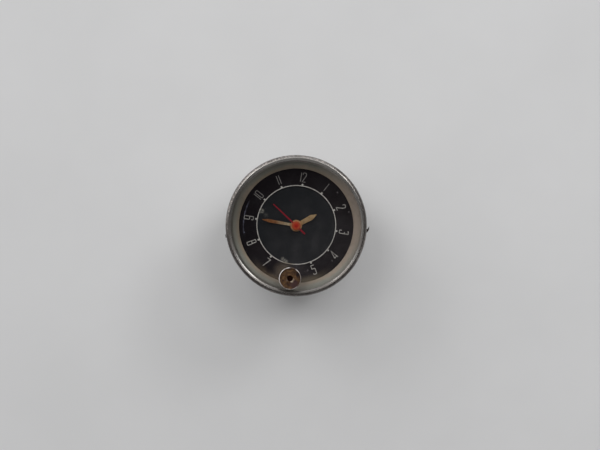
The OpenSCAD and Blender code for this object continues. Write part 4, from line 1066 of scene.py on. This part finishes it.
def hex_nut(name, at, low, high, flats, bore, material):
    """A hexagon with both rims chamfered."""
    segments, chamfer, sixth = 96, 0.35 * MM, math.pi / 3
    angles = [2 * math.pi * i / segments for i in range(segments)]
    full = [flats / 2 / math.cos((a + sixth / 2) % sixth - sixth / 2) for a in angles]
    eased = [min(r, flats / 2 + 0.05 * MM) for r in full]
    hole = [bore] * segments
    rows = [(low, eased), (low + chamfer, full), (high - chamfer, full), (high, eased)]
    rows += [(high, hole), (low, hole)]
    verts = []
    for z, radii in rows:
        verts += [(at[0] + r * math.cos(a), at[1] + r * math.sin(a), z) for r, a in zip(radii, angles)]
    return smooth(new_object(name, verts, quads(len(rows), segments), material), 25)


def rear_fasteners():
    """Studs and the terminal, with threads that run into their nuts."""
    grip, head_h, head_r, head_bore = mm(0.3, 2, 3.6, 0.2)
    low, high = bottom("stud_nuts"), top("stud_nuts")
    stud_low, stud_top = bottom("mounting_studs"), top("mounting_studs")
    rods = [threaded_rod("stud", at, stud_low, stud_top, low + grip, STEEL) for at in STUD_ATS]
    stands_for(join("stud_rods", rods), "clock_body", "steel", "mounting_studs")
    nuts = [hex_nut("nut", at, low, high, NUT_FLATS, THREAD_CORE_R, STEEL) for at in STUD_ATS]
    stands_for(join("stud_hex_nuts", nuts), "clock_body", "steel", "stud_nuts")
    at, low, high = mount_at("power_terminal"), bottom("terminal_nut"), top("terminal_nut")
    nut = hex_nut("terminal_hex_nut", at, low, high, NUT_FLATS, THREAD_CORE_R, BRASS)
    stands_for(nut, "clock_body", "brass", "terminal_nut")
    rod_low, head_top = bottom("terminal_stud"), top("terminal_stud")
    head_low, head_flats = head_top - head_h, 2 * head_r * math.cos(math.pi / 6)
    rod = threaded_rod("terminal_rod", at, rod_low, head_low + head_h / 2, low + grip, BRASS)
    head = hex_nut("head", at, head_low, head_top, head_flats, head_bore, BRASS)
    stands_for(join("terminal_rod", [rod, head]), "clock_body", "brass", "terminal_stud")


# Stage, light and camera

TILT = math.radians(6.6)  # how far the clock is turned clockwise in the photograph
IMAGE_UP = Vector((-math.sin(TILT), math.cos(TILT), 0))
IMAGE_RIGHT = Vector((math.cos(TILT), math.sin(TILT), 0))
VIEW_WIDTH = 254.7 * MM  # width of the photograph in the plane of the bezel's rear edge
CAMERA_DISTANCE = 0.6
SENSOR = 36.0
AIM_RIGHT, AIM_UP = mm(1.61, 0.29)
FLOOR_HALF = 1.5

# How bright the room is from the horizon up to straight above, and away from and towards its bright side
SKY = [(0.0, 1.1), (0.45, 1.0), (0.7, 0.75), (0.94, 0.55), (1.0, 0.35)]
SKY_BIAS = (0.33, 1.5)
SKY_SPREAD = (-0.3, 0.7)
SKY_AZIMUTH = -20
ROOM_TINT = (0.80, 0.80, 0.81)
ROOM_SEEN = 0.8  # how bright the camera sees it

# A lamp and a window on each side: how far off and how wide they are, and their angles from straight above
LAMP_DISTANCE, LAMP_SIZE = 0.8, 0.24
LAMP_ZENITH, WINDOW_ZENITH = 20, 47
LAMP_POWER = 1.0
SIDES = (("left", -45, 0.62), ("right", 45, 1.0))  # azimuth, and the power of the window


def floor():
    g = Paint("pale_floor", roughness=0.85)
    g.set(Base_Color=g.ramp(g.noise(60 * MM, 3), [(0.3, (0.605, 0.605, 0.605)), (0.7, (0.63, 0.63, 0.63))]))
    corners = [(x * FLOOR_HALF, y * FLOOR_HALF, FLOOR_Z) for x, y in ((-1, -1), (1, -1), (1, 1), (-1, 1))]
    new_object("floor", corners, [[0, 1, 2, 3]], g.material)


def area_light(name, at, power):
    light = bpy.data.lights.new(name, "AREA")
    light.shape = "DISK"
    light.size = LAMP_SIZE
    light.energy = power
    obj = bpy.data.objects.new(name, light)
    obj.location = at
    obj.rotation_euler = (-at).to_track_quat("-Z", "Y").to_euler()
    bpy.context.scene.collection.objects.link(obj)


def from_image(azimuth, zenith, distance):
    """A place at an azimuth from the image's up towards its right, and at an angle from straight above."""
    a, z = math.radians(azimuth), math.radians(zenith)
    flat = IMAGE_UP * math.cos(a) + IMAGE_RIGHT * math.sin(a)
    return flat * math.sin(z) * distance + Vector((0, 0, math.cos(z) * distance))


def room():
    """A pale room, darker straight above, where the camera is; the camera sees it in one tone."""
    world = bpy.data.worlds.new("room")
    world.use_nodes = True
    g = Graph(world.node_tree, "Generated")
    sky = g.ramp(g.height(), [(position, (level, level, level)) for position, level in SKY])
    along = g.vector("DOT_PRODUCT", g.place, from_image(SKY_AZIMUTH, 90, 1.0)).outputs["Value"]
    bias = g.band(along, *SKY_SPREAD, *SKY_BIAS, "LINEAR")
    camera_ray = g.add("ShaderNodeLightPath").outputs["Is Camera Ray"]
    seen = g.fill(g.add("ShaderNodeMix"), Factor=camera_ray, A=g.product(sky, bias), B=ROOM_SEEN)
    g.feed(world.node_tree.nodes["Background"], ROOM_TINT, seen.outputs["Result"])
    bpy.context.scene.world = world


def light_and_camera():
    scene = bpy.context.scene
    scene.view_settings.view_transform = "Standard"
    room()
    for side, azimuth, window_power in SIDES:
        area_light(side + "_lamp", from_image(azimuth, LAMP_ZENITH, LAMP_DISTANCE), LAMP_POWER)
        area_light(side + "_window", from_image(azimuth, WINDOW_ZENITH, LAMP_DISTANCE), window_power)
    camera = bpy.data.objects.new("camera", bpy.data.cameras.new("camera"))
    camera.data.sensor_width = SENSOR
    camera.data.lens = SENSOR * CAMERA_DISTANCE / VIEW_WIDTH
    camera.data.clip_start = 0.01
    camera.location = IMAGE_RIGHT * AIM_RIGHT + IMAGE_UP * AIM_UP + Vector((0, 0, CAMERA_DISTANCE))
    camera.rotation_euler = (0, 0, TILT)
    scene.collection.objects.link(camera)
    scene.camera = camera


dress_frame()
light_and_camera()
floor()
bezel()
glass()
sloping_ring()
dial()
printed_dial()
hands()
knob()
stem_coil()
can()
rear_fasteners()
